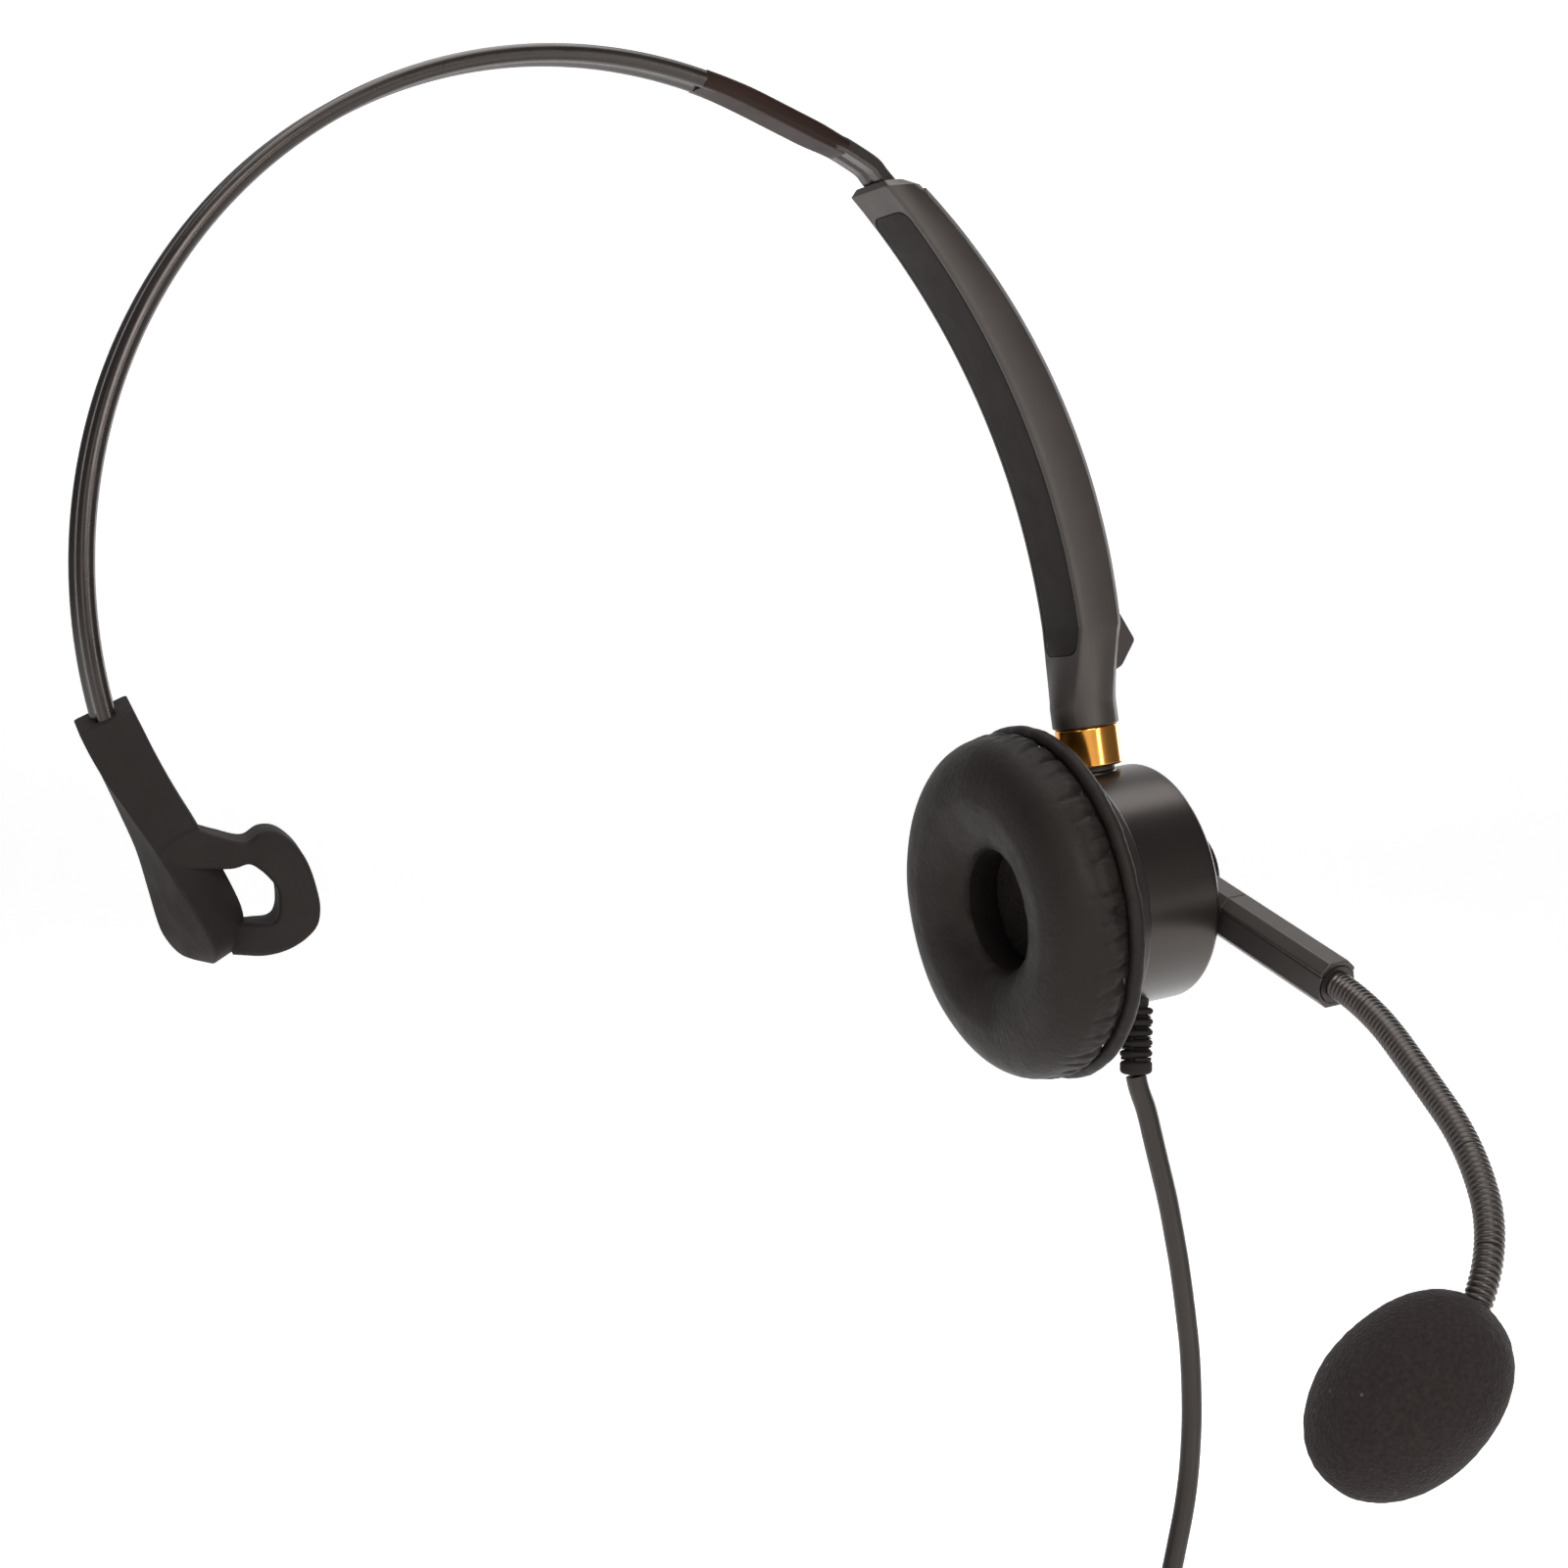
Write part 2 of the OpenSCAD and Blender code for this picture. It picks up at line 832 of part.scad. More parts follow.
// Section of the stem with its wire channel; x is the thickness, y the height.
module stem_section() {
    difference() {
        chamfered(stem_t, stem_h, 1.4);
        square([3, 3.2], center = true);
    }
}

// Lays a stem section along the boom from distance y0 to y1.
module along_stem(y0, y1) {
    translate([stem_x, -y0, 0])
    rotate([90, 0, 0])
    linear_extrude(y1 - y0)
    children();
}

module boom_stem() {
    color("#272423")
    boom_frame()
    difference() {
        union() {
            rod_x(hub_r, hub_x0, stem_x + stem_t / 2);
            along_stem(2, 16.9)
            chamfered(stem_t, stem_h, 1.4);
            along_stem(16.8, stem_len)
            intersection() {
                stem_section();
                rect(-stem_t, stem_t, -stem_h, stem_split - 0.05);
            }
        }
        rod_x(pivot_r + run_gap, hub_x0 - 1, stem_x + stem_t);
        rod_x(4.6, stem_x + stem_t / 2 - 2, stem_x + stem_t);
        translate([stem_x, -stem_len + 6.2, 0])
        rotate([90, 0, 0])
        cylinder(r = 2.9 + fit_gap, h = 8);
    }
}

module boom_stem_cover() {
    color("#2b2827")
    boom_frame()
    difference() {
        along_stem(17, stem_len)
        intersection() {
            stem_section();
            rect(-stem_t, stem_t, stem_split + 0.05, stem_h);
        }
        translate([stem_x, -stem_len + 6.2, 0])
        rotate([90, 0, 0])
        cylinder(r = 2.9 + fit_gap, h = 8);
    }
}

module boom_hub_cap() {
    color("#1f1c1b")
    boom_frame()
    difference() {
        union() {
            rod_x(hub_r - 0.6, stem_x + stem_t / 2 + 0.03, stem_x + stem_t / 2 + 1.2);
            rod_x(4.55, stem_x + stem_t / 2 - 0.2, stem_x + stem_t / 2 + 0.5);
        }
        rod_x(3.6, stem_x + stem_t / 2 - 1, stem_x + stem_t / 2 + 0.2);
    }
}

module neck_ferrule() {
    color("#8d8f91")
    boom_frame()
    translate([stem_x, -stem_len + 6, 0])
    rotate([90, 0, 0])
    difference() {
        cylinder(r = 2.9, h = 6.2);
        translate([0, 0, -1])
        cylinder(r = neck_r + fit_gap, h = 8);
    }
}

// One bent length of neck, cut short at both ends so that it can hinge on the next.
module neck_length(n) {
    r = neck_radius(n);
    trim = neck_gap / 2 * 180 / (PI * r);
    a0 = n == 0 ? 0 : trim;
    a1 = neck_turns[n] - (n == 3 ? 0 : trim);
    neck_frame(n)
    translate([0, r, 0])
    rotate([0, 0, a0 - 90])
    rotate_extrude(angle = a1 - a0)
    translate([r, 0])
    circle(r = neck_r, $fn = 32);
}

module gooseneck_1() {
    color("#232020") {
        neck_length(0);
        neck_frame(0)
        rod_x(neck_r, -5, 0);
    }
}

module gooseneck_2() {
    color("#262323")
    neck_length(1);
}

module gooseneck_3() {
    color("#232020")
    neck_length(2);
}

module gooseneck_4() {
    color("#262323") {
        neck_length(3);
        mic_frame()
        rod_x(neck_r - 0.1, -1, 1.8);
    }
}

// ---------- Microphone ----------

module mic_holder() {
    color("#1c1a19")
    mic_frame()
    difference() {
        union() {
            rod_x(4.1, 3, 15);
            rod_x(3, 0.7, 3.2);
        }
        rod_x(neck_r - 0.1 + fit_gap, 0, 1.9);
        rod_x(3.2, 7, 16);
    }
}

module mic_capsule() {
    color("#b9a25a")
    mic_frame()
    rod_x(3.15, 8, 14.6);
}

// A matte foam egg that slips over the microphone; the neck enters beside its tip.
module foam_windscreen() {
    color("#2a2523")
    mic_frame()
    difference() {
        translate([foam_a - 0.6, 1.1, 0])
        rotate([0, 0, foam_skew])
        rotate([90, 0, 90])
        rotate_extrude()
        polygon([for (i = [0 : 28]) [
            foam_b * pow(sin(i * 180 / 28), 0.9),
            -foam_a * cos(i * 180 / 28)
        ]]);
        rod_x(3.2, -3, 2.4);
        rod_x(4.2, 2.3, 15.6);
    }
}

// ---------- Cord ----------

// Unit direction of the route at point i.
function route_dir(i) =
    let (
        a = cord_route[max(0, i - 1)],
        b = cord_route[min(len(cord_route) - 1, i + 1)]
    )
    (b - a) / norm(b - a);

// One ring of the cord's tube, square to the route at point i.
function route_ring(i, sides) =
    let (
        t = i == 0 ? [0, 0, -1] : route_dir(i),
        u = [0, 1, 0],
        v = cross(t, u)
    )
    [for (k = [0 : sides - 1])
        cord_route[i] + cord_r * (cos(k * 360 / sides) * v + sin(k * 360 / sides) * u)];

module cord() {
    sides = 8;
    n = len(cord_route);
    points = [for (i = [0 : n - 1]) each route_ring(i, sides)];
    walls = [for (i = [0 : n - 2], k = [0 : sides - 1]) [
        i * sides + k, (i + 1) * sides + k,
        (i + 1) * sides + (k + 1) % sides, i * sides + (k + 1) % sides
    ]];
    first = [for (k = [0 : sides - 1]) k];
    last = [for (k = [sides - 1 : -1 : 0]) (n - 1) * sides + k];
    color("#232020")
    polyhedron(points = points, faces = concat(walls, [first, last]));
}

// Turns a section about the coil's axis, which runs front to back.
module coil_arc(a0, a1) {
    translate([0, coil_c[1], 0])
    y_arc([coil_c[0], coil_c[2]], a0, a1)
    children();
}

module cord_coil() {
    color("#232020")
    coil_arc(0, 360)
    rect(coil_r0, coil_r1, -coil_rows * cord_r, coil_rows * cord_r);
}

module cord_tie() {
    half = coil_rows * cord_r + 0.05;
    color("#3a3634")
    coil_arc(84, 96)
    difference() {
        rect(coil_r0 - 1.1, coil_r1 + 1.1, -half - 1, half + 1);
        rect(coil_r0 - 0.05, coil_r1 + 0.05, -half, half);
    }
}

// The last of the cord leaves the coil's front row and drops to the plug.
module tail_frame() {
    translate([coil_c[0] + coil_r1 - cord_r, coil_c[1] - coil_rows * cord_r + cord_r, tail_top])
    children();
}

module cord_tail() {
    color("#232020")
    tail_frame()
    rod_z(cord_r, -tail_len, 0);
}

module plug_body() {
    color("#1d1b1a")
    tail_frame()
    rotate_extrude()
    polygon([
        [0, -tail_len - 0.02], [2.3, -tail_len - 0.02], [2.8, -tail_len - 6],
        [4, -tail_len - 8], [4, -tail_len - 24], [3.4, -tail_len - 25.5],
        [0, -tail_len - 25.5]
    ]);
}

module plug_pin() {
    z = -tail_len - 25.52;
    color("#d0b060")
    tail_frame()
    rotate_extrude()
    polygon([
        [0, z], [pin_r, z], [pin_r, z - pin_len], [1.1, z - pin_len - 0.9],
        [1.5, z - pin_len - 1.6], [0.5, z - pin_len - 2.5], [0, z - pin_len - 2.5]
    ]);
}

band_cover();
band_spring();
rail_sleeve();
slide_rail();
rail_stop();
rail_stop_screw();
temple_pad();
temple_insert();
temple_loop();
arm_housing();
arm_cover();
detent_spring();
swivel_collar();
swivel_shaft();
swivel_clip();
swivel_washer();
cup_shell();
cup_baffle();
cup_screws();
speaker_frame();
speaker_magnet();
speaker_diaphragm();
speaker_cloth();
cushion_plate();
cushion_piping();
ear_cushion();
cushion_foam();
terminal_board();
board_screws();
strain_relief();
relief_clamp();
boom_pivot();
boom_washer();
boom_stem();
boom_stem_cover();
boom_hub_cap();
neck_ferrule();
gooseneck_1();
gooseneck_2();
gooseneck_3();
gooseneck_4();
mic_holder();
mic_capsule();
foam_windscreen();
cord();
cord_coil();
cord_tie();
cord_tail();
plug_body();
plug_pin();
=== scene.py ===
"""Looks of the single-ear office headset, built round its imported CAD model.

Everything is in metres in the CAD frame: +Z up, +X towards the ear cup, -Y towards the
wearer's front, origin under the middle of the head band.
"""

import json
import math

import bmesh
import bpy
import numpy as np
from mathutils import Matrix, Vector, noise


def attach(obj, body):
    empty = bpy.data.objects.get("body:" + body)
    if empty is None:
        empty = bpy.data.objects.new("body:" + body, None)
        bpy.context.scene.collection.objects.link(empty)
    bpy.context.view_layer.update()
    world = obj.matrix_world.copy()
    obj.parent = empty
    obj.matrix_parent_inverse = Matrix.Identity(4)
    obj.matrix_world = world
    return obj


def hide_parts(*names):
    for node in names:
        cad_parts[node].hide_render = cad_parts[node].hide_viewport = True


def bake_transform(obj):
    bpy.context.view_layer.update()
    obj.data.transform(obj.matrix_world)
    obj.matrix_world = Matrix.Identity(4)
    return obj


MM = 0.001
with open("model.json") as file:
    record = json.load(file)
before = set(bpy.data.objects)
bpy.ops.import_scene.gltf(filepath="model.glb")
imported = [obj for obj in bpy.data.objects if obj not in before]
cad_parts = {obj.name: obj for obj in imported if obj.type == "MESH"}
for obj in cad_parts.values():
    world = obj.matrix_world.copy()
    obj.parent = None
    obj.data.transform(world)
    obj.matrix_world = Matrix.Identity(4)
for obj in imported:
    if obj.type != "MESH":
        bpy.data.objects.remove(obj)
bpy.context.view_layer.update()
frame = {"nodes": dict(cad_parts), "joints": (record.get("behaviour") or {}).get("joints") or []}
joints = {j["name"]: j for j in frame["joints"]}


# ---------- Camera ----------

AZIMUTH = math.radians(-27)
TARGET = Vector((30.2, 0, -102.4)) * MM
DISTANCE = 480 * MM

camera = bpy.data.objects.new("camera", bpy.data.cameras.new("camera"))
bpy.context.scene.collection.objects.link(camera)
bpy.context.scene.camera = camera
camera.location = TARGET + DISTANCE * Vector((math.sin(AZIMUTH), -math.cos(AZIMUTH), 0))
camera.rotation_euler = (math.radians(90), 0, AZIMUTH)
camera.data.sensor_width = 36
camera.data.lens = 75
camera.data.clip_start = 0.01


# ---------- Frames of the CAD model ----------


def turn(angle, axis):
    return Matrix.Rotation(math.radians(angle), 4, axis)


def shift(x, y, z):
    return Matrix.Translation(Vector((x, y, z)) * MM)


CUP_LEAN = 9
STEM_DROP = 21
STEM_LEN = 42.2
STEM_X = 12.1
NECK_TILT = 40
NECK_STEP = 15.8
NECK_TURNS = [15, 1.2, 17, 37]
MIC_TURN = 16

cup_at = Vector(joints["cup_swivel"]["pos_m"])
cup_frame = Matrix.Translation(cup_at) @ turn(-CUP_LEAN, "Y")
boom_frame = cup_frame @ turn(STEM_DROP, "X")


def neck_frame(n):
    """Start of neck section n: X along the neck, Y to the inside of its bend."""
    here = boom_frame @ shift(STEM_X, -STEM_LEN, 0) @ turn(90 + NECK_TILT, "Y") @ turn(-90, "Z")
    for angle in NECK_TURNS[:n]:
        r = NECK_STEP / math.radians(angle)
        here = here @ shift(0, r, 0) @ turn(angle, "Z") @ shift(0, -r, 0)
    return here


def neck_point(s):
    """Frame at length s, in mm, along the neck."""
    n = min(int(s / NECK_STEP), 3) if s > 0 else 0
    u = s - n * NECK_STEP
    if s < 0:
        return neck_frame(0) @ shift(s, 0, 0)
    if u > NECK_STEP:
        return neck_frame(4) @ shift(u - NECK_STEP, 0, 0)
    r = NECK_STEP / math.radians(NECK_TURNS[n])
    angle = u / NECK_STEP * NECK_TURNS[n]
    return neck_frame(n) @ shift(0, r, 0) @ turn(angle, "Z") @ shift(0, -r, 0)


mic_frame = neck_frame(4) @ turn(MIC_TURN, "Z")


# ---------- Mesh helpers ----------


def smoothstep(x):
    x = min(max(x, 0.0), 1.0)
    return x * x * (3 - 2 * x)


def mix(a, b, t):
    return a + (b - a) * t


def make_object(name, points, faces, material, sharp=40):
    """A mesh object whose edges stay sharp where its faces meet at more than sharp degrees."""
    mesh = bpy.data.meshes.new(name)
    mesh.from_pydata([tuple(p) for p in points], [], faces)
    bm = bmesh.new()
    bm.from_mesh(mesh)
    bmesh.ops.recalc_face_normals(bm, faces=bm.faces)
    bm.to_mesh(mesh)
    bm.free()
    mesh.shade_smooth()
    if sharp:
        mesh.set_sharp_from_angle(angle=math.radians(sharp))
    mesh.materials.append(material)
    obj = bpy.data.objects.new(name, mesh)
    bpy.context.scene.collection.objects.link(obj)
    return obj


def skin(rings, close_u=True, close_v=False, caps=(True, True)):
    """Points and faces of a surface through equal rings of points."""
    n = len(rings[0])
    points = [p for ring in rings for p in ring]
    faces = []
    rows = len(rings) if close_v else len(rings) - 1
    for i in range(rows):
        a, b = i * n, (i + 1) % len(rings) * n
        for k in range(n if close_u else n - 1):
            m = (k + 1) % n
            faces.append((a + k, a + m, b + m, b + k))
    if not close_v and caps[0]:
        faces.append(tuple(range(n - 1, -1, -1)))
    if not close_v and caps[1]:
        last = (len(rings) - 1) * n
        faces.append(tuple(range(last, last + n)))
    return points, faces


def lathe(name, profile, place, material, steps=128, sharp=40, shape=None):
    """Turns (x, r) points in mm about the X axis of a frame; shape may move each point."""
    rings = []
    for x, r in profile:
        ring = []
        for k in range(steps):
            a = 2 * math.pi * k / steps
            px, pr = (x, r) if shape is None else shape(x, r, a)
            ring.append(place @ (Vector((px, pr * math.cos(a), pr * math.sin(a))) * MM))
        rings.append(ring)
    points, faces = skin(rings)
    return make_object(name, points, faces, material, sharp)


def rounded(corners, steps=5):
    """Rounds the corners of a closed outline given as (x, y, radius)."""
    out = []
    n = len(corners)
    for i in range(n):
        p = Vector(corners[i][:2])
        r = corners[i][2]
        a = Vector(corners[i - 1][:2]) - p
        b = Vector(corners[(i + 1) % n][:2]) - p
        if r <= 0:
            out.append(p)
            continue
        half = a.angle(b) / 2
        cut = min(r / math.tan(half), a.length * 0.49, b.length * 0.49)
        r = cut * math.tan(half)
        centre = p + (a.normalized() + b.normalized()).normalized() * (r / math.sin(half))
        p0 = p + a.normalized() * cut - centre
        p1 = p + b.normalized() * cut - centre
        angle = p0.angle_signed(p1)
        for k in range(steps + 1):
            t = -angle * k / steps
            c, s = math.cos(t), math.sin(t)
            out.append(centre + Vector((c * p0.x - s * p0.y, s * p0.x + c * p0.y)))
    return out


def spline_points(knots, count):
    """A smooth Catmull-Rom line through the knots."""
    k = [2 * knots[0] - knots[1]] + list(knots) + [2 * knots[-1] - knots[-2]]
    out = []
    spans = len(knots) - 1
    for i in range(count):
        s = i / (count - 1) * spans
        j = min(int(s), spans - 1)
        t = s - j
        p0, p1, p2, p3 = k[j : j + 4]
        out.append(
            0.5
            * (
                2 * p1
                + (p2 - p0) * t
                + (2 * p0 - 5 * p1 + 4 * p2 - p3) * t**2
                + (3 * p1 - p0 - 3 * p2 + p3) * t**3
            )
        )
    return out


# ---------- Materials ----------


class Nodes:
    """A small builder for one procedural material."""

    def __init__(self, name, color, rough, metallic=0.0, specular=0.5):
        self.material = bpy.data.materials.new(name)
        self.material.use_nodes = True
        self.tree = self.material.node_tree
        self.shader = self.tree.nodes["Principled BSDF"]
        self.shader.inputs["Base Color"].default_value = (*color, 1)
        self.shader.inputs["Roughness"].default_value = rough
        self.shader.inputs["Metallic"].default_value = metallic
        self.shader.inputs["Specular IOR Level"].default_value = specular
        if not metallic:
            self.shader.inputs["Specular Tint"].default_value = (1, 0.88, 0.82, 1)
        self.coords = self.tree.nodes.new("ShaderNodeTexCoord").outputs["Object"]
        self.bump = None

    def noise(self, scale, detail=3.0, rough=0.55, stretch=None):
        node = self.tree.nodes.new("ShaderNodeTexNoise")
        node.inputs["Scale"].default_value = scale
        node.inputs["Detail"].default_value = detail
        node.inputs["Roughness"].default_value = rough
        self._place(node, stretch)
        return node.outputs["Fac"]

    def cells(self, scale, feature="F1", stretch=None):
        node = self.tree.nodes.new("ShaderNodeTexVoronoi")
        node.feature = feature
        node.inputs["Scale"].default_value = scale
        self._place(node, stretch)
        return node.outputs["Distance"]

    def _place(self, node, stretch):
        if stretch is None:
            self.tree.links.new(self.coords, node.inputs["Vector"])
            return
        mapping = self.tree.nodes.new("ShaderNodeMapping")
        mapping.inputs["Scale"].default_value = stretch
        self.tree.links.new(self.coords, mapping.inputs["Vector"])
        self.tree.links.new(mapping.outputs["Vector"], node.inputs["Vector"])

    def ramp(self, value, low, high, a, b):
        """Maps a value from low..high to a..b."""
        node = self.tree.nodes.new("ShaderNodeMapRange")
        node.inputs["From Min"].default_value = low
        node.inputs["From Max"].default_value = high
        node.inputs["To Min"].default_value = a
        node.inputs["To Max"].default_value = b
        self.tree.links.new(value, node.inputs["Value"])
        return node.outputs["Result"]

    def tint(self, value, dark, light):
        node = self.tree.nodes.new("ShaderNodeMix")
        node.data_type = "RGBA"
        node.inputs["A"].default_value = (*dark, 1)
        node.inputs["B"].default_value = (*light, 1)
        self.tree.links.new(value, node.inputs["Factor"])
        self.tree.links.new(node.outputs["Result"], self.shader.inputs["Base Color"])
        return self

    def rough(self, value, low, high):
        self.tree.links.new(self.ramp(value, 0.3, 0.7, low, high), self.shader.inputs["Roughness"])
        return self

    def relief(self, height, strength, depth):
        """Adds a bump of the given depth in metres on top of those before it."""
        node = self.tree.nodes.new("ShaderNodeBump")
        node.inputs["Strength"].default_value = strength
        node.inputs["Distance"].default_value = depth
        self.tree.links.new(height, node.inputs["Height"])
        if self.bump is not None:
            self.tree.links.new(self.bump, node.inputs["Normal"])
        self.bump = node.outputs["Normal"]
        self.tree.links.new(self.bump, self.shader.inputs["Normal"])
        return self

    def sheen(self, weight, rough):
        self.shader.inputs["Sheen Weight"].default_value = weight
        self.shader.inputs["Sheen Roughness"].default_value = rough
        return self


def moulded(name, dark, light, low, high, grain=2600, depth=0.00003, specular=0.5, wave=0.00006):
    """Spark-textured plastic with faint colour and gloss variation."""
    m = Nodes(name, dark, low, specular=specular)
    m.tint(m.noise(70, 4), dark, light)
    m.rough(m.noise(240, 5), low, high)
    m.relief(m.noise(grain, 2), 0.35, depth)
    if wave:
        m.relief(m.noise(45, 2), 0.12, wave)
    return m.material


def metal(name, dark, light, low, high, stretch, depth=0.00002):
    """Brushed or turned metal with fine streaks."""
    m = Nodes(name, dark, low, metallic=1.0)
    streaks = m.noise(900, 3, stretch=stretch)
    m.tint(streaks, dark, light)
    m.rough(streaks, low, high)
    m.relief(streaks, 0.2, depth)
    return m.material


def leatherette():
    """Soft black leatherette: pebble grain broken by fine creases."""
    m = Nodes("leatherette", (0.008, 0.0066, 0.006), 0.5, specular=0.12)
    m.tint(m.noise(160, 5), (0.0085, 0.007, 0.0064), (0.0122, 0.0102, 0.0095))
    m.rough(m.noise(300, 4), 0.46, 0.56)
    m.relief(m.noise(220, 3), 0.2, 0.00012)
    m.relief(m.cells(1300, "SMOOTH_F1"), 0.55, 0.0001)
    m.relief(m.noise(2600, 3), 0.25, 0.00004)
    return m.material


def foam():
    """Open-cell foam: tiny pits, a soft edge and specks of light fluff."""
    m = Nodes("foam_black", (0.012, 0.0095, 0.009), 0.95, specular=0.08)
    specks = m.ramp(m.cells(420, "F1"), 0.05, 0.14, 1.0, 0.0)
    fluff = m.ramp(m.noise(90, 2), 0.56, 0.62, 0.0, 1.0)
    both = m.tree.nodes.new("ShaderNodeMath")
    both.operation = "MULTIPLY"
    m.tree.links.new(specks, both.inputs[0])
    m.tree.links.new(fluff, both.inputs[1])
    m.tint(m.noise(1500, 3), (0.0068, 0.0054, 0.0051), (0.024, 0.0193, 0.0182))
    dust = m.tree.nodes.new("ShaderNodeMix")
    dust.data_type = "RGBA"
    dust.inputs["B"].default_value = (0.06, 0.05, 0.047, 1)
    m.tree.links.new(both.outputs["Value"], dust.inputs["Factor"])
    m.tree.links.new(m.shader.inputs["Base Color"].links[0].from_socket, dust.inputs["A"])
    m.tree.links.new(dust.outputs["Result"], m.shader.inputs["Base Color"])
    m.relief(m.noise(700, 4), 0.5, 0.0003)
    m.relief(m.cells(1900, "F1"), 0.8, 0.0002)
    return m.sheen(0.04, 0.5).material


def cloth():
    """Fine black speaker cloth with crossing threads."""
    m = Nodes("speaker_cloth_black", (0.004, 0.0033, 0.003), 0.9, specular=0.1)
    warp = m.noise(1500, 1, stretch=(1, 0.2, 3))
    weft = m.noise(1500, 1, stretch=(1, 3, 0.2))
    m.relief(warp, 0.6, 0.00012)
    m.relief(weft, 0.6, 0.00012)
    return m.material


def board():
    """Green solder mask with paler copper tracks under it."""
    m = Nodes("solder_mask", (0.01, 0.09, 0.03), 0.35)
    tracks = m.ramp(m.cells(260, "DISTANCE_TO_EDGE"), 0.04, 0.12, 1, 0)
    m.tint(tracks, (0.008, 0.07, 0.025), (0.02, 0.16, 0.05))
    return m.material


def magnet_film():
    """Straw-coloured film of the speaker's diaphragm."""
    m = Nodes("speaker_film", (0.5, 0.46, 0.36), 0.3, specular=0.6)
    m.tint(m.noise(300, 3), (0.42, 0.38, 0.29), (0.56, 0.51, 0.41))
    m.relief(m.noise(500, 2, stretch=(0.2, 1, 1)), 0.3, 0.0001)
    return m.material


satin_black = moulded(
    "satin_black", (0.0048, 0.0039, 0.0036), (0.0065, 0.0053, 0.0049),
    0.305, 0.32, 1800, 0.000004, 0.5, 0,
)
band_black = moulded(
    "band_black", (0.0075, 0.006, 0.0055), (0.0115, 0.0095, 0.0088),
    0.24, 0.33, 1600, 0.00001, 0.45,
)
arm_black = moulded(
    "arm_black", (0.0115, 0.0095, 0.0088), (0.016, 0.0136, 0.0127),
    0.44, 0.52, 2400, 0.00003, 0.55,
)
cover_black = moulded(
    "cover_black", (0.0085, 0.007, 0.0064), (0.0125, 0.0106, 0.0099),
    0.5, 0.6, 2400, 0.00004, 0.1,
)
# The sleeve's brownish base colour is a painted warm reflection laid over black plastic.
sleeve_painted_reflection = moulded(
    "sleeve_painted_reflection", (0.0105, 0.0045, 0.0033), (0.0145, 0.0065, 0.005),
    0.42, 0.52, 2000, 0.00003, 0.14,
)
rail_black = moulded(
    "rail_black", (0.012, 0.0105, 0.0098), (0.018, 0.016, 0.015),
    0.24, 0.32, 2200, 0.00001, 0.5,
)
moulded_black = moulded(
    "moulded_black", (0.0085, 0.007, 0.0064), (0.0125, 0.0106, 0.0099),
    0.34, 0.46, 2000, 0.00003, 0.4,
)
inner_black = moulded(
    "inner_black", (0.02, 0.018, 0.017), (0.028, 0.025, 0.024),
    0.5, 0.62, specular=0.3,
)
rubber_black = moulded(
    "rubber_black", (0.0105, 0.0086, 0.008), (0.0175, 0.015, 0.0142),
    0.66, 0.8, 1500, 0.00007, 0.08,
)
neck_black = moulded(
    "neck_black", (0.011, 0.0092, 0.0086), (0.018, 0.0156, 0.0148),
    0.28, 0.38, 2200, 0.00002, 0.5,
)
cord_black = moulded(
    "cord_black", (0.0065, 0.0055, 0.005), (0.0098, 0.0084, 0.0078),
    0.4, 0.52, 1300, 0.00003, 0.4,
)
orange_gold = metal(
    "orange_gold", (0.84, 0.36, 0.07), (0.90, 0.41, 0.09),
    0.17, 0.2, (1, 1, 30), 0.000001,
)
steel = metal("steel", (0.42, 0.42, 0.42), (0.55, 0.55, 0.55), 0.25, 0.4, (1, 30, 1))
spring_steel = metal("spring_steel", (0.5, 0.5, 0.51), (0.62, 0.62, 0.63), 0.2, 0.34, (30, 1, 1))
brass = metal("brass", (0.62, 0.45, 0.16), (0.72, 0.54, 0.22), 0.22, 0.34, (30, 1, 1))
plug_metal = metal("plug_nickel", (0.3, 0.3, 0.3), (0.4, 0.4, 0.4), 0.2, 0.3, (1, 1, 30))
leather = leatherette()
foam_black = foam()
grille_cloth = cloth()
green = board()
film = magnet_film()


def paint(material, *names):
    """Gives carried-over CAD nodes a material and clean shading."""
    for name in names:
        obj = frame["nodes"][name]
        obj.data.materials.clear()
        obj.data.materials.append(material)
        for polygon in obj.data.polygons:
            polygon.use_smooth = True
        obj.data.set_sharp_from_angle(angle=math.radians(32))


paint(spring_steel, "band_spring", "detent_spring", "swivel_clip")
paint(steel, "rail_stop", "rail_stop_screw", "swivel_shaft", "cup_screws", "speaker_magnet")
paint(steel, "board_screws", "relief_clamp", "boom_pivot")
paint(inner_black, "temple_insert", "swivel_washer", "speaker_frame", "cushion_plate")
paint(inner_black, "boom_washer", "mic_holder")
paint(moulded_black, "plug_body", "cord_tie", "neck_ferrule")
paint(brass, "mic_capsule")
paint(plug_metal, "plug_pin")
paint(grille_cloth, "speaker_cloth")
paint(green, "terminal_board")
paint(film, "speaker_diaphragm")


# ---------- Cord ----------

CORD_D = 3.2
ROUTE = [
    (87.7, -6, -147.1), (88.3, -6, -149.3), (89.6, -6, -152.5), (90.9, -6, -157.2),
    (92.2, -6, -161.8), (93.5, -6, -166.5), (94.6, -6, -171.5), (95.8, -6, -177.5),
    (96.9, -6, -184.7), (97.6, -6, -190.5), (97.9, -6, -196.5), (97.9, -6, -202),
    (97.4, -6, -208.8), (96.5, -6, -214.4), (95.2, -6, -219.9), (93.6, -6, -226.5),
    (92.9, -6, -231.3), (93.3, -6, -235.5), (94.9, -6, -239.4), (97.2, -6, -242.2),
    (100, -6, -244),
]
COIL = Vector((88.8, -10.8, -263.4))
COIL_ROWS = [-6, -9.2, -12.4, -15.6]
COIL_IN = 12.8
COIL_OUT = 22.4
TAIL_LEN = 21


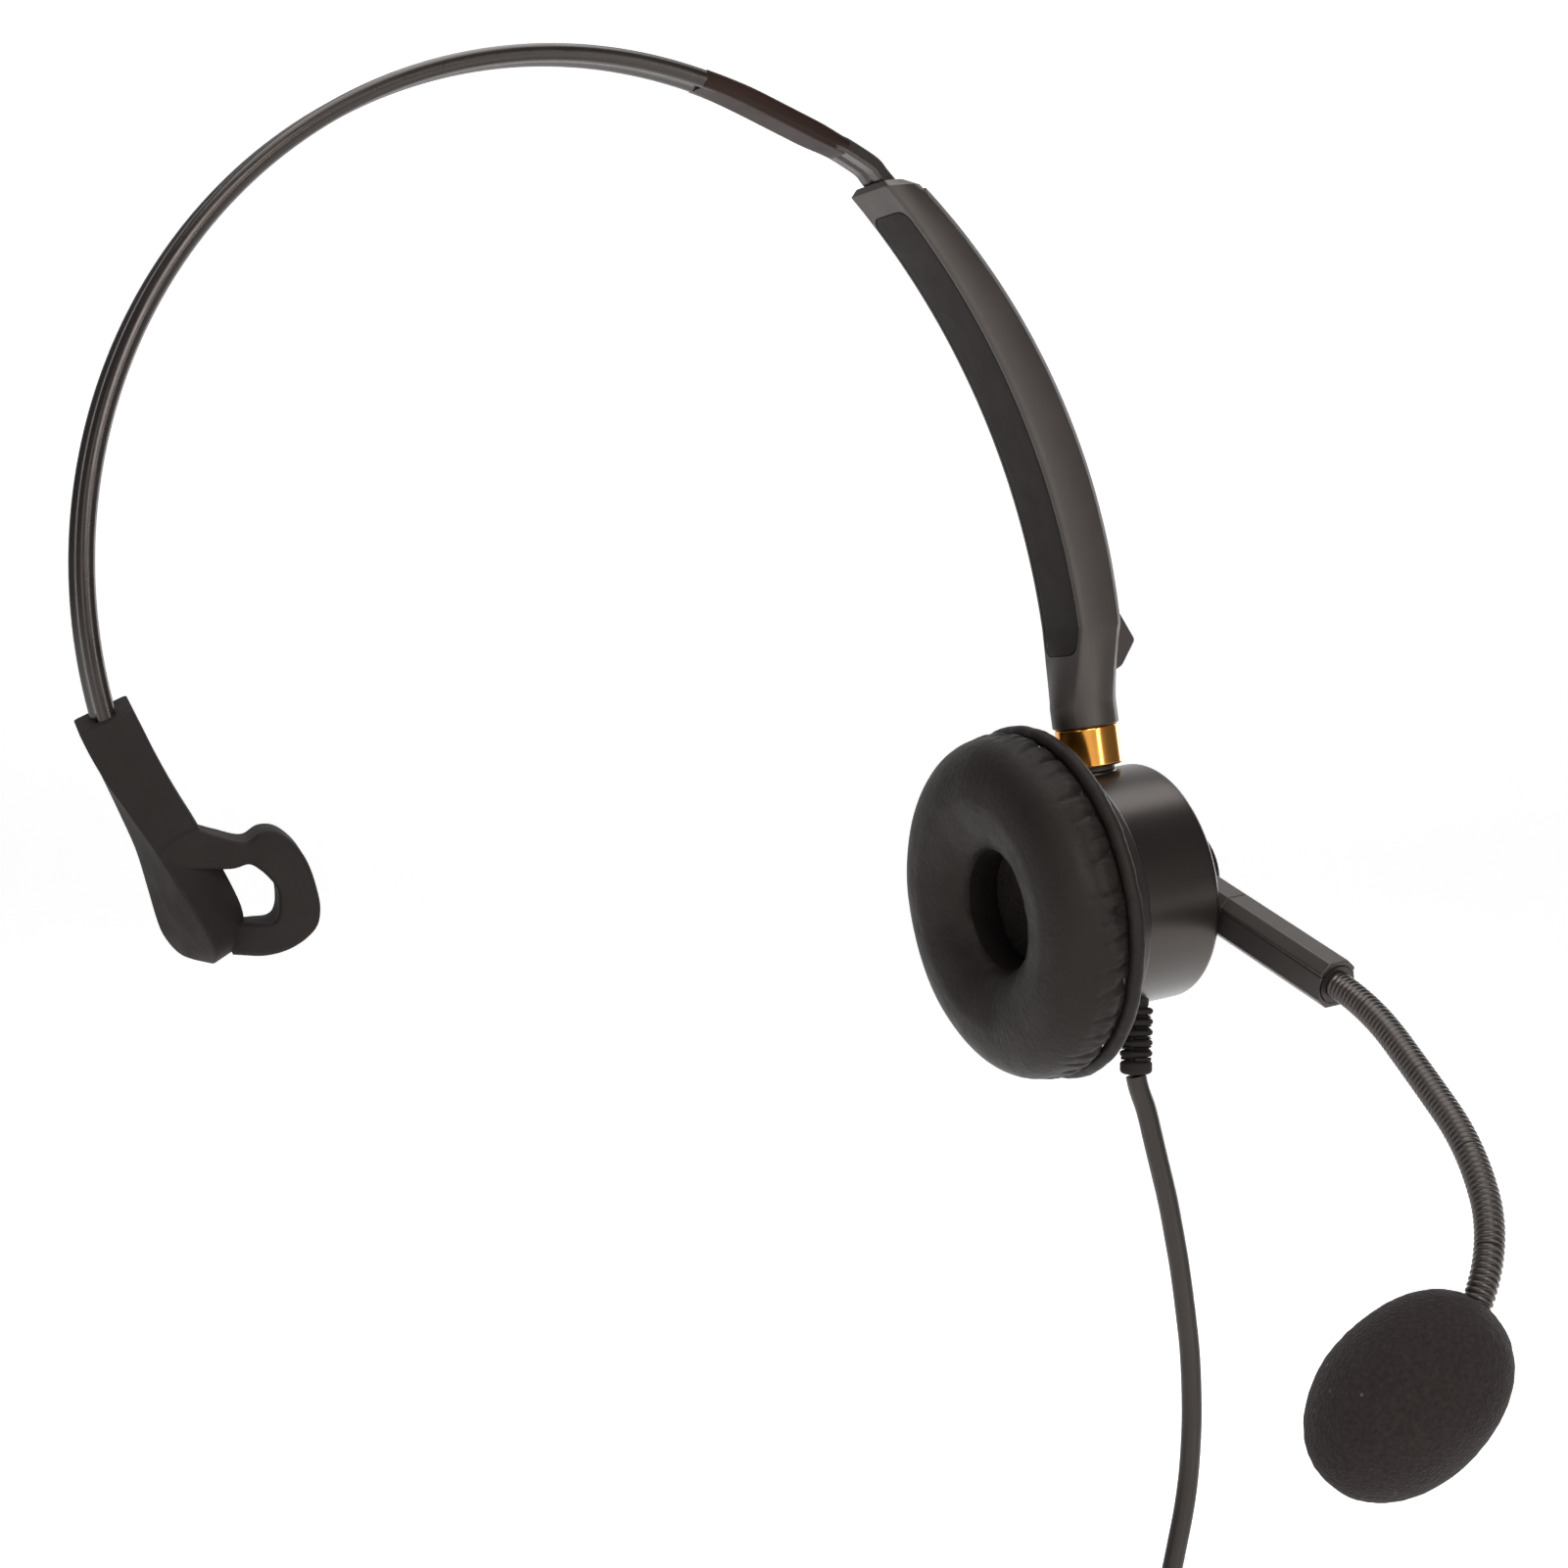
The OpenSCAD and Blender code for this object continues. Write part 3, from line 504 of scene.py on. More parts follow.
def coil_path():
    """Four flat spirals side by side, wound in and out by turns, then down the tail."""
    points = []
    start = 60.0
    for row, y in enumerate(COIL_ROWS):
        turns = 3 if row < 3 else 3 + 60 / 360
        r0, r1 = (COIL_OUT, COIL_IN) if row % 2 == 0 else (COIL_IN, COIL_OUT)
        steps = int(turns * 28)
        for k in range(steps):
            t = k / steps
            a = math.radians(start - 360 * turns * t)
            # Each spiral keeps to its row and steps over to the next at its end.
            step_over = smoothstep((t - 0.94) / 0.06)
            nxt = COIL_ROWS[row + 1] if row < 3 else y
            r = mix(r0, r1, t)
            here = COIL + Vector((r * math.cos(a), 0, r * math.sin(a)))
            points.append(Vector((here.x, mix(y, nxt, step_over), here.z)))
        start -= 360 * turns
    for k in range(9):
        points.append(Vector((COIL.x + COIL_OUT, COIL_ROWS[-1], COIL.z - TAIL_LEN * k / 8)))
    return points


def cord_piece():
    """The cord as one curve: the hanging length, the coil and the tail to the plug."""
    knots = [Vector(p) for p in ROUTE]
    points = spline_points(knots, 60) + coil_path()[1:]
    curve = bpy.data.curves.new("headset_cord", "CURVE")
    curve.dimensions = "3D"
    curve.bevel_depth = CORD_D / 2 * MM
    curve.bevel_resolution = 6
    curve.use_fill_caps = True
    spline = curve.splines.new("POLY")
    spline.points.add(len(points) - 1)
    for point, p in zip(spline.points, points):
        point.co = (*(p * MM), 1)
    spline.use_smooth = True
    curve.materials.append(cord_black)
    obj = bpy.data.objects.new("headset_cord", curve)
    bpy.context.scene.collection.objects.link(obj)
    return obj


cord = cord_piece()
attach(cord, "cup")
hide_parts("cord", "cord_coil", "cord_tail")


# ---------- Head band ----------

BAND_R = 74.2
BAND_C = Vector((0, 0, -72.9))


def band_place(angle, out, y):
    """A point on the band: out from its middle line, y front to back."""
    a = math.radians(angle)
    r = BAND_R + out
    return (BAND_C + Vector((r * math.cos(a), y, r * math.sin(a)))) * MM


def band_section():
    """Half-way round the section: two rounded ridges with a shallow groove between."""
    top = []
    for k in range(25):
        y = 3.1 * math.sin(math.pi * (k / 24 - 0.5))
        ay = abs(y)
        if ay > 1.8:
            h = 1.3 * math.sqrt(max(0.0, 1 - ((ay - 1.8) / 1.3) ** 2))
        else:
            h = 1.3 - 0.42 * smoothstep((1.8 - ay) / 1.5)
        top.append((h, y))
    return top + [(-h, y) for h, y in reversed(top[1:-1])]


section = band_section()
rings = [
    [band_place(angle, h, y) for h, y in section] for angle in np.linspace(70.3, 202, 220)
]
band = make_object("band_shell", *skin(rings), band_black, 60)
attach(band, "band")
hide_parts("band_cover")


# ---------- Ear cushion ----------

CUSHION_BACK = -13.4
HOLE_R = 9.1
LINING_FRONT = -19.3
CUSHION_STEPS = 460


def cushion_profile():
    """(x, r) from the hole's back edge over the crowned face to the seam at the piping."""
    top = HOLE_R + 8.0
    outline = [(CUSHION_BACK, HOLE_R + 0.4), (-15.6, HOLE_R), (-18, HOLE_R), (-20.2, HOLE_R + 0.6)]
    outline += [(-21.7, HOLE_R + 2.2), (-22.9, HOLE_R + 4.6)]
    for k in range(9):
        t = math.pi / 2 * (1 - k / 9)
        outline.append((-15.8 - 7.9 * math.sin(t) ** 0.85, top + 9.5 * math.cos(t) ** 0.85))
    outline += [(-15.9, 26.95), (-14.4, 26.6), (CUSHION_BACK, 25.7)]
    knots = [Vector((x, r, 0)) for x, r in outline]
    return [(p.x, p.y) for p in spline_points(knots, 80)]


def cushion_shape(x, r, a):
    """Gathers at the seam and slow puckers over the face."""
    reach = 1.8 * noise.noise(Vector((5.3 * math.cos(a), 5.3 * math.sin(a), 4)))
    side = smoothstep((x + 20.6 + reach) / 6.2) * smoothstep((r - 20) / 4)
    hem = smoothstep((x + 18.8) / 4.0) * smoothstep((r - 20) / 4)
    spot = Vector((3.1 * math.cos(a), 3.1 * math.sin(a), 0))
    wander = 1.1 * noise.noise(spot * 1.7) + 0.6 * noise.noise(spot * 4.1 + Vector((7, 0, 0)))
    strength = 0.75 + 0.5 * noise.noise(spot * 2.3 + Vector((0, 9, 0)))
    folds = 1 - abs(math.sin(21 * a + 1.6 * wander + 0.2 * (x + 14)))
    deep = -1.1 * strength * folds ** mix(7, 2.2, side) * side
    fine = 0.07 * math.sin(118 * a + 5 * wander) * hem
    slow = 0.16 * noise.noise(Vector((1.6 * math.cos(a), 1.6 * math.sin(a), x * 0.25)) * 1.8)
    inner = 1 - smoothstep((r - HOLE_R - 1) / 4)
    crease = 0.12 * noise.noise(Vector((5 * math.cos(a), 5 * math.sin(a), x * 0.6))) * inner
    return x + slow + 0.3 * crease, r + deep + fine - hem * 0.25 + slow * 0.5 + crease


cushion = lathe(
    "cushion_cover", cushion_profile(), cup_frame, leather, CUSHION_STEPS, 0, cushion_shape
)
# The deep part of the hole's wall takes the darker speaker cloth material.
cushion.data.materials.append(grille_cloth)
cloth_rows = next(i for i, (x, r) in enumerate(cushion_profile()) if x < LINING_FRONT)
for polygon in cushion.data.polygons:
    if polygon.index < cloth_rows * CUSHION_STEPS:
        polygon.material_index = 1
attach(cushion, "cup")
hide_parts("ear_cushion")

# The foam core keeps clear of the gathers all round.
CORE_X = -17.6
CORE_R = 18
core_profile = [
    (mix(CORE_X, x, 0.78), mix(CORE_R, r, 0.8)) for x, r in cushion_profile()
]
core = lathe("cushion_core", core_profile, cup_frame, foam_black, 96, 0)
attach(core, "cup")
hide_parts("cushion_foam")


def piping_piece(place, material):
    """The piped hem: a soft roll whose size and place wander a little round the cup."""
    rings = []
    steps = 300
    for k in range(steps):
        a = 2 * math.pi * k / steps
        spot = Vector((4 * math.cos(a), 4 * math.sin(a), 2))
        wave = noise.noise(spot * 2.5)
        r_mid = 26.15 + 0.1 * wave
        x_mid = -12.3 + 0.12 * noise.noise(spot * 3.1)
        fat = 1.22 + 0.06 * noise.noise(spot * 6)
        ring = []
        for j in range(18):
            b = 2 * math.pi * j / 18
            x = x_mid + fat * math.cos(b) * 0.95
            r = r_mid + fat * math.sin(b)
            ring.append(place @ (Vector((x, r * math.cos(a), r * math.sin(a))) * MM))
        rings.append(ring)
    points, faces = skin(rings, close_v=True)
    return make_object("cushion_hem", points, faces, material, 0)


hem = piping_piece(cup_frame, leather)
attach(hem, "cup")
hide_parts("cushion_piping")


# ---------- Neck ----------

NECK_R = 2.1
NECK_END = 4 * NECK_STEP
RIB = NECK_STEP / 18


def neck_piece(name, s0, s1):
    """A ribbed length of neck from s0 to s1."""
    rings = []
    steps = int(round((s1 - s0) / RIB * 8))
    for i in range(steps + 1):
        s = mix(s0, s1, i / steps)
        r = NECK_R - 0.32 * (0.5 + 0.5 * math.cos(2 * math.pi * s / RIB)) ** 3
        place = neck_point(s)
        rings.append(
            [
                place @ (Vector((0, r * math.cos(t), r * math.sin(t))) * MM)
                for t in (2 * math.pi * k / 28 for k in range(28))
            ]
        )
    points, faces = skin(rings)
    obj = make_object(name, points, faces, neck_black, 0)
    return obj


neck_start = neck_piece("neck_start", -5, NECK_STEP * 0.5)
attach(neck_start, "boom")
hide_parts("gooseneck_1")
for i in range(3):
    hinge = (i + 1) * NECK_STEP
    part = neck_piece(f"neck_bend_{i + 1}", hinge - NECK_STEP / 2, hinge + NECK_STEP / 2)
    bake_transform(part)
    if i < 2:
        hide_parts(f"gooseneck_{i + 2}")
neck_end = neck_piece("neck_end", NECK_END - NECK_STEP / 2, NECK_END + 0.6)
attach(neck_end, "microphone")
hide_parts("gooseneck_4")


# ---------- Foam windscreen ----------

FOAM_A = 15.9
FOAM_B = 11.6
FOAM_SKEW = 13


def foam_piece():
    """An egg of foam, set a little askew on the microphone and swollen unevenly."""
    place = mic_frame @ shift(FOAM_A - 0.6, 1.1, 0) @ turn(FOAM_SKEW, "Z")
    rings = []
    for i in range(1, 96):
        t = math.pi * i / 96
        ring = []
        for k in range(120):
            a = 2 * math.pi * k / 120
            r = FOAM_B * math.sin(t) ** 0.9
            p = Vector((-FOAM_A * math.cos(t), r * math.cos(a), r * math.sin(a)))
            swell = 1 - 0.012 + 0.011 * noise.noise(p * 0.13) + 0.006 * noise.noise(p * 0.9)
            ring.append(place @ (p * swell * MM))
        rings.append(ring)
    points, faces = skin(rings)
    return make_object("foam_cover", points, faces, foam_black, 0)


foam_egg = foam_piece()
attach(foam_egg, "microphone")
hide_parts("foam_windscreen")


# ---------- Hard pieces kept from the CAD, with soft edges ----------


def softened(name, material, width=0.12, angle=35):
    """A copy of a CAD node with small rounded edges, which stands for it."""
    source = frame["nodes"][name]
    mesh = source.data.copy()
    mesh.materials.clear()
    mesh.materials.append(material)
    obj = bpy.data.objects.new(name + "_skin", mesh)
    bpy.context.scene.collection.objects.link(obj)
    bm = bmesh.new()
    bm.from_mesh(mesh)
    bmesh.ops.remove_doubles(bm, verts=bm.verts, dist=1e-6)
    bmesh.ops.dissolve_limit(bm, angle_limit=math.radians(1), verts=bm.verts, edges=bm.edges)
    bm.to_mesh(mesh)
    bm.free()
    mesh.shade_smooth()
    bevel = obj.modifiers.new("edges", "BEVEL")
    bevel.width = width * MM
    bevel.segments = 3
    bevel.limit_method = "ANGLE"
    bevel.angle_limit = math.radians(angle)
    bevel.use_clamp_overlap = True
    weighted(obj)
    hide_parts(name)
    return obj


def weighted(obj):
    """Keeps flat faces flat beside their rounded edges."""
    normals = obj.modifiers.new("normals", "WEIGHTED_NORMAL")
    normals.keep_sharp = True


for name, material, body, slot, width in [
    ("boom_stem", arm_black, "boom", "moulded_black", 0.18),
    ("boom_stem_cover", arm_black, "boom", "moulded_black", 0.18),
    ("boom_hub_cap", satin_black, "boom", "satin_black", 0.3),
    ("swivel_collar", orange_gold, "cup", "orange_anodised", 0.1),
]:
    piece = softened(name, material, width)
    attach(piece, body)


# ---------- Ear cup ----------

CUP_R = 18.4
CUP_FRONT = -9.1
CUP_BACK = 8.4


def cup_profile():
    """(x, r) from the middle of the open side round the turned edge to the outer face."""
    edge = [(CUP_BACK - 1.1 + 1.1 * math.sin(t), CUP_R - 1.1 + 1.1 * math.cos(t))
            for t in np.linspace(0, math.pi / 2, 9)]
    face = [(CUP_BACK, r) for r in (16.9, 16.6)]
    ring = [(CUP_BACK - 0.22, 16.4), (CUP_BACK - 0.22, 16.0), (CUP_BACK, 15.8)]
    return (
        [(CUP_FRONT + 0.6, 0.01), (CUP_FRONT + 0.6, 16.7)]
        + [(CUP_FRONT, 16.9), (CUP_FRONT, CUP_R - 0.3)]
        + [(CUP_FRONT + 0.25, CUP_R), (CUP_FRONT + 1, CUP_R), (CUP_BACK - 2, CUP_R)]
        + edge + face + ring + [(CUP_BACK, 8), (CUP_BACK, 0.01)]
    )


cup = lathe("cup_skin", cup_profile(), cup_frame, satin_black, 192, 35)
weighted(cup)
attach(cup, "cup")
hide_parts("cup_shell")

lip = lathe(
    "cup_lip",
    [(-12.1, 0.01), (-12.1, 22.4), (-11.8, 22.8), (-11.2, 22.8), (-10.6, 21.6), (-9.6, 20.9)]
    + [(-6.1, 20.3), (-5.75, 20.2), (-5.55, 20.0), (-5.45, 19.7), (-5.4, 18.0), (-9.6, 18.0)]
    + [(-9.6, 0.01)],
    cup_frame, moulded_black, 192, 35,
)
weighted(lip)
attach(lip, "cup")
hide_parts("cup_baffle")

boss_frame = cup_frame @ turn(-90, "Y")
boss = lathe(
    "cup_boss",
    [(12, 0.01), (12, 3.9), (17.9, 3.9), (18.2, 3.82), (18.42, 3.6), (18.5, 3.3), (18.5, 0.01)],
    boss_frame, satin_black, 96, 35,
)
weighted(boss)
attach(boss, "cup")


# ---------- Strain relief ----------

RELIEF = Vector((87.7, -6, -136.3))
relief_frame = shift(*RELIEF) @ turn(90, "Y")


def relief_piece():
    """Five soft rings on a thin core, joined by short webs set crosswise in turn."""
    rows = [(-4, 1.95), (-0.2, 1.95)]
    pitch = 1.62
    for i in range(6):
        x = 0.35 + i * pitch
        fat = 2.62 - 0.03 * i
        web = fat - 0.82
        if i == 5:
            rows += [(x, 1.8), (x + 0.12, fat - 0.25), (x + 0.4, fat), (x + 1.55, fat)]
            rows += [(x + 1.9, fat - 0.2), (x + 2.1, fat - 0.6), (x + 2.15, 1.55)]
        else:
            rows += [(x, 1.8), (x + 0.08, fat - 0.3), (x + 0.3, fat - 0.03), (x + 0.54, fat)]
            rows += [(x + 0.78, fat - 0.03), (x + 1.0, fat - 0.3), (x + 1.08, 1.8)]
            rows += [(x + 1.13, web), (x + pitch - 0.05, web)]

    def webs(x, r, a):
        i = int((x - 0.3) // pitch)
        into_gap = (x - 0.35) % pitch > 1.09
        if 0 <= i < 5 and into_gap and r < 2.1:
            side = math.cos(2 * (a - (i % 2) * math.pi / 2))
            r = mix(1.62, 2.5, smoothstep((side - 0.05) / 0.3))
        return x, r

    rows.append((rows[-1][0], 0.5))
    return lathe("relief_sleeve", rows, relief_frame, rubber_black, 72, 35, webs)


relief = relief_piece()
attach(relief, "cup")
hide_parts("strain_relief")


# ---------- Rail sleeve ----------

BAND_END = 70
SLEEVE_BACK = -9.5
SLEEVE_LEN = 24.5


def on_band(angle):
    """A frame on the band's middle line, X pointing down towards the arm."""
    hub = Matrix.Translation(BAND_C * MM) @ turn(-angle, "Y")
    return hub @ shift(BAND_R, 0, 0) @ turn(90, "Y")


sleeve_frame = on_band(BAND_END)


def sleeve_piece():
    """Grows out of the band, runs straight and ends where the rail comes out."""
    rings = []
    for k in range(38):
        s = SLEEVE_BACK + SLEEVE_LEN * k / 37
        grow = smoothstep((s - SLEEVE_BACK) / 9)
        fade = smoothstep((s - 9) / 6)
        w = mix(6.2, 6.35, grow) - 0.3 * fade
        t = mix(2.56, 2.75, grow) - 0.35 * fade
        c = 0.8 + 0.2 * fade
        if s < 0:
            place = on_band(BAND_END - math.degrees(s / BAND_R))
        else:
            place = sleeve_frame @ shift(s, 0, 0)
        w, t = w / 2, t / 2
        corners = [(-w, -t, c), (w, -t, c), (w, t, c), (-w, t, c)]
        outline = rounded(corners, 4)
        rings.append([place @ (Vector((0, p.x, p.y)) * MM) for p in outline])
    middle = sum(rings[-1], Vector()) / len(rings[-1])
    forward = sleeve_frame.to_3x3() @ Vector((0.25 * MM, 0, 0))
    rings.append([p.lerp(middle, 0.12) + forward for p in rings[-1]])
    obj = make_object("sleeve_skin", *skin(rings), sleeve_painted_reflection, 50)
    weighted(obj)
    return obj


sleeve = sleeve_piece()
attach(sleeve, "band")
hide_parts("rail_sleeve")


# ---------- Rail ----------

RAIL_MID = 120.0


def rail_piece():
    """A rail, grooved on both faces, that bends out of the sleeve onto the arm's curve."""
    rings = []
    path = [sleeve_frame @ shift(s, 0, 0) @ Vector() for s in (12.8, 14.0, 15.2)]
    path += [arm_place(a, RAIL_MID - ARM_R, 0) for a in (47.0, 46.0, 45.0, 44.0, 43.0)]
    path = spline_points(path, 60)
    path += [arm_place(a, RAIL_MID - ARM_R, 0) for a in np.linspace(42.8, 30.4, 40)]
    half = []
    for y in (-2.95, -2.6, -1.0, -0.8, -0.5, 0.0, 0.5, 0.8, 1.0, 2.6, 2.95):
        ay = abs(y)
        half.append((y, 0.75 if ay < 0.6 else 1.1 if ay < 2.7 else 0.75))
    section = half + [(y, -h) for y, h in reversed(half)]
    for i, p in enumerate(path):
        along = (path[min(i + 1, len(path) - 1)] - path[max(i - 1, 0)]).normalized()
        out = along.cross(Vector((0, 1, 0))).normalized()
        out = -out if out.dot(p - ARM_C * MM) < 0 else out
        rings.append([p + Vector((0, y * MM, 0)) + out * h * MM for y, h in section])
    obj = make_object("rail_skin", *skin(rings), rail_black, 30)
    bevel = obj.modifiers.new("edges", "BEVEL")
    bevel.width = 0.08 * MM
    bevel.segments = 2
    bevel.limit_method = "ANGLE"
    weighted(obj)
    return obj


# ---------- Sliding arm ----------

ARM_C = Vector((-38, 0, -98.2))
ARM_R = 117.6
ARM_HALF = 6.0
ARM_ROOT = 9.5
ARM_MOUTH = 45.6
ARM_END_Z = 25.6
OUTER_C = Vector((-14, 0, -90))
OUTER_R = 100.7
COVER_HALF = 4.9
COVER_TOP = 43.3
COVER_LOW = 7.4
SEAM = 0.15


def arm_thickness(angle):
    """Distance from the inner face to the crowned outer face along a ray from ARM_C."""
    ray = Vector((math.cos(math.radians(angle)), 0, math.sin(math.radians(angle))))
    gap = OUTER_C - ARM_C
    along = gap.dot(ray)
    return along + math.sqrt(OUTER_R**2 - (gap.length_squared - along**2)) - ARM_R


def arm_place(angle, depth, y):
    """A point at a depth under the inner face, metres."""
    a = math.radians(angle)
    r = ARM_R + depth
    return (ARM_C + Vector((r * math.cos(a), y, r * math.sin(a)))) * MM


def foot_place(angle, depth, y, thick, sunk=0.0):
    """As arm_place, but below the root the section runs into the round foot."""
    if angle >= ARM_ROOT:
        return arm_place(angle, depth + sunk, y)
    t = (ARM_ROOT - angle) / (ARM_ROOT - 3.4)
    start = arm_place(ARM_ROOT, depth + sunk, y)
    way = math.atan2(y / ARM_HALF, (depth - thick / 2) / (thick / 2))
    r = 5.15
    end = cup_frame @ (Vector((r * math.cos(way) + sunk, r * math.sin(way), ARM_END_Z + 3.2)) * MM)
    if t <= 1:
        bow = Vector((math.cos(math.radians(ARM_ROOT)), 0, math.sin(math.radians(ARM_ROOT))))
        pinch = 0.35 * math.sin(math.pi * t) * max(0.0, math.cos(way)) * MM
        return start.lerp(end, smoothstep(t) * 0.25 + t * 0.75) - bow * pinch
    drop = min((t - 1) * 16, 3.2)
    return end - cup_frame.to_3x3() @ Vector((0, 0, drop * MM))


def arm_section(thick, recess):
    """(depth, y, sunk) round the arm from the middle of its inner face."""
    half = []
    w = recess if recess else COVER_HALF + SEAM
    sunk = 0.45 if recess else 0.0
    for k in range(5):
        half.append((0.0, w * k / 4, sunk))
    half += [(0.0, w + 0.001, 0.0), (0.0, w + 0.15, 0.0), (0.0, max(w + 0.3, 5.35), 0.0)]
    half += [(0.06, 5.62, 0.0), (0.22, 5.82, 0.0), (0.5, 5.93, 0.0)]
    for k in range(1, 8):
        t = k / 8
        half.append((0.5 + (thick - 2.1) * t, 5.95 + 0.16 * math.sin(math.pi * t), 0.0))
    half += [(thick - 1.6, 5.95, 0.0), (thick - 1.45, 5.9, 0.0), (thick - 0.62, 5.32, 0.0)]
    half += [(thick - 0.45, 5.12, 0.0), (thick - 0.3, 4.6, 0.0), (thick - 0.16, 3.7, 0.0)]
    half += [(thick - 0.05, 2.2, 0.0), (thick, 0.9, 0.0)]
    return half + [(thick, 0.0, 0.0)] + [(d, -y, s) for d, y, s in reversed(half[1:])]


def cover_width(angle, top, low, half):
    """Half width of the cover plate, which is rounded at its four corners."""
    corner = 2.0
    reach = min(top - angle, angle - low) * math.radians(1) * ARM_R
    if reach < 0:
        return 0.0
    reach = min(reach, corner)
    return half - corner + math.sqrt(max(0.0, corner**2 - (corner - reach) ** 2))


def arm_ring(angle, recess, tilt=0.0, inset=0.0):
    thick = arm_thickness(max(angle, ARM_ROOT))
    ring = []
    for depth, y, sunk in arm_section(thick, recess):
        if inset:
            scale = 1 - inset / 4.5
            depth = thick / 2 + (depth - thick / 2) * (1 - inset / thick * 1.6)
            y *= scale
        ring.append(foot_place(angle - tilt * depth, depth, y, thick, sunk))
    return ring


def arm_piece():
    section = arm_section(arm_thickness(ARM_MOUTH), 0.0)

    def hollow(angle, half_r, half_y, tilt=0.0):
        """A rectangular opening matched point by point to the section."""
        row = []
        for depth, y, sunk in section:
            way = math.atan2(y, depth - 2.45)
            c, s = math.cos(way), math.sin(way)
            reach = 1 / max(abs(c) / half_r, abs(s) / half_y)
            d = 2.45 + reach * c
            row.append(arm_place(angle - tilt * d, d, reach * s))
        return row

    rings = [hollow(a, 1.75, 4.2) for a in np.linspace(29.8, 43.2, 20)]
    rings.append(hollow(43.3, 1.4, 3.2))
    rings += [hollow(ARM_MOUTH + 0.35, 1.4, 3.2, 0.36), hollow(ARM_MOUTH + 0.45, 1.5, 3.35, 0.36)]
    rings.append([p for p in arm_ring(ARM_MOUTH + 0.55, 0.0, 0.36, 1.1)])
    rings.append(arm_ring(ARM_MOUTH, 0.0, 0.36, 0.08))
    rings.append(arm_ring(ARM_MOUTH - 0.08, 0.0, 0.35))
    top, low = COVER_TOP + 0.05, COVER_LOW - 0.05
    angles = list(np.linspace(ARM_MOUTH - 0.6, top + 0.3, 6))
    tilts = [0.33, 0.28, 0.23, 0.18, 0.13, 0.1]
    rings += [arm_ring(a, 0.0, t) for a, t in zip(angles, tilts)]
    rings.append(arm_ring(top, 0.0))
    ends = [0.0, 0.05, 0.15, 0.3, 0.5, 0.75, 1.0]
    plate = [top - e for e in ends] + list(np.linspace(top - 1.4, low + 1.4, 96))
    plate += [low + e for e in reversed(ends)]
    for a in plate:
        rings.append(arm_ring(a, max(0.6, cover_width(a, top, low, COVER_HALF + SEAM))))
    rings.append(arm_ring(low - 0.01, 0.0))
    rings += [arm_ring(a, 0.0) for a in np.linspace(low - 0.4, 3.4, 14)]
    rings += [arm_ring(a, 0.0) for a in (3.0, 2.2)]
    last = rings[-1]
    middle = sum(last, Vector()) / len(last)
    down = cup_frame.to_3x3() @ Vector((0, 0, -MM))
    rings.append([p.lerp(middle, 0.02) + down * 0.1 for p in last])
    rings.append([p.lerp(middle, 0.07) + down * 0.2 for p in last])
    obj = make_object("arm_shell", *skin(rings), arm_black, 38)
    weighted(obj)
    return obj


rail = rail_piece()
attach(rail, "band")
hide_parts("slide_rail")

arm = arm_piece()
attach(arm, "arm")
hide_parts("arm_housing")


def arm_stub():
    """The pointed stop on the arm's outer side."""
    corners = [(83.6, -74.6, 0.5), (86.3, -75.4, 0.8), (89.6, -80.1, 0.9)]
    corners += [(87.2, -84.2, 1.6), (83.6, -86.2, 0.5)]
    outline = rounded(corners, 5)
    middle = sum(outline, Vector((0, 0))) / len(outline)
    side = [(3.2, 0.45), (3.05, 0.15), (2.7, 0.0)]
    rings = []
    for y, inset in [(-y, inset) for y, inset in side] + side[::-1]:
        rings.append([
            Vector((p.x + (middle.x - p.x) * inset / 3, y, p.y + (middle.y - p.y) * inset / 4)) * MM
            for p in outline
        ])
    obj = make_object("arm_stop", *skin(rings), arm_black, 40)
    weighted(obj)
    return obj


stub = arm_stub()
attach(stub, "arm")


def cover_piece():
    """The plate in the inner face, flush but for its fine rounded edge."""
    rings = []
    ends = [0.0, 0.06, 0.16, 0.32, 0.52, 0.78, 1.05]
    angles = [COVER_TOP - e for e in ends] + list(np.linspace(COVER_TOP - 1.4, COVER_LOW + 1.4, 96))
    angles += [COVER_LOW + e for e in reversed(ends)]
    thick = arm_thickness(ARM_ROOT)
    for i, a in enumerate(angles):
        w = max(0.5, cover_width(a, COVER_TOP, COVER_LOW, COVER_HALF))
        edge = 0.1 if 0 < i < len(angles) - 1 else 0.14
        rim = [(0.44, w), (edge + 0.06, w), (0.03 + edge / 2, w - 0.04)]
        rim.append((-0.02 + edge / 3, w - 0.14))
        row = [(d, -y) for d, y in rim]
        row += [(-0.04 - 0.1 * (1 - (u / 5) ** 2), w * u / 5.2) for u in range(-5, 6)]
        row += rim[::-1]
        t = arm_thickness(max(a, ARM_ROOT))
        rings.append([foot_place(a, 0.0, y, t, d) for d, y in row])
    obj = make_object("cover_plate", *skin(rings), cover_black, 50)
    weighted(obj)
    return obj


cover = cover_piece()
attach(cover, "arm")
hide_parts("arm_cover")


# ---------- Temple pad ----------

pad_frame = shift(-71.4, 0, -93.2) @ turn(-27.5, "Y") @ turn(-15, "Z")


def pad_point(x, y, depth):
    return pad_frame @ (Vector((x, y, -depth)) * MM)


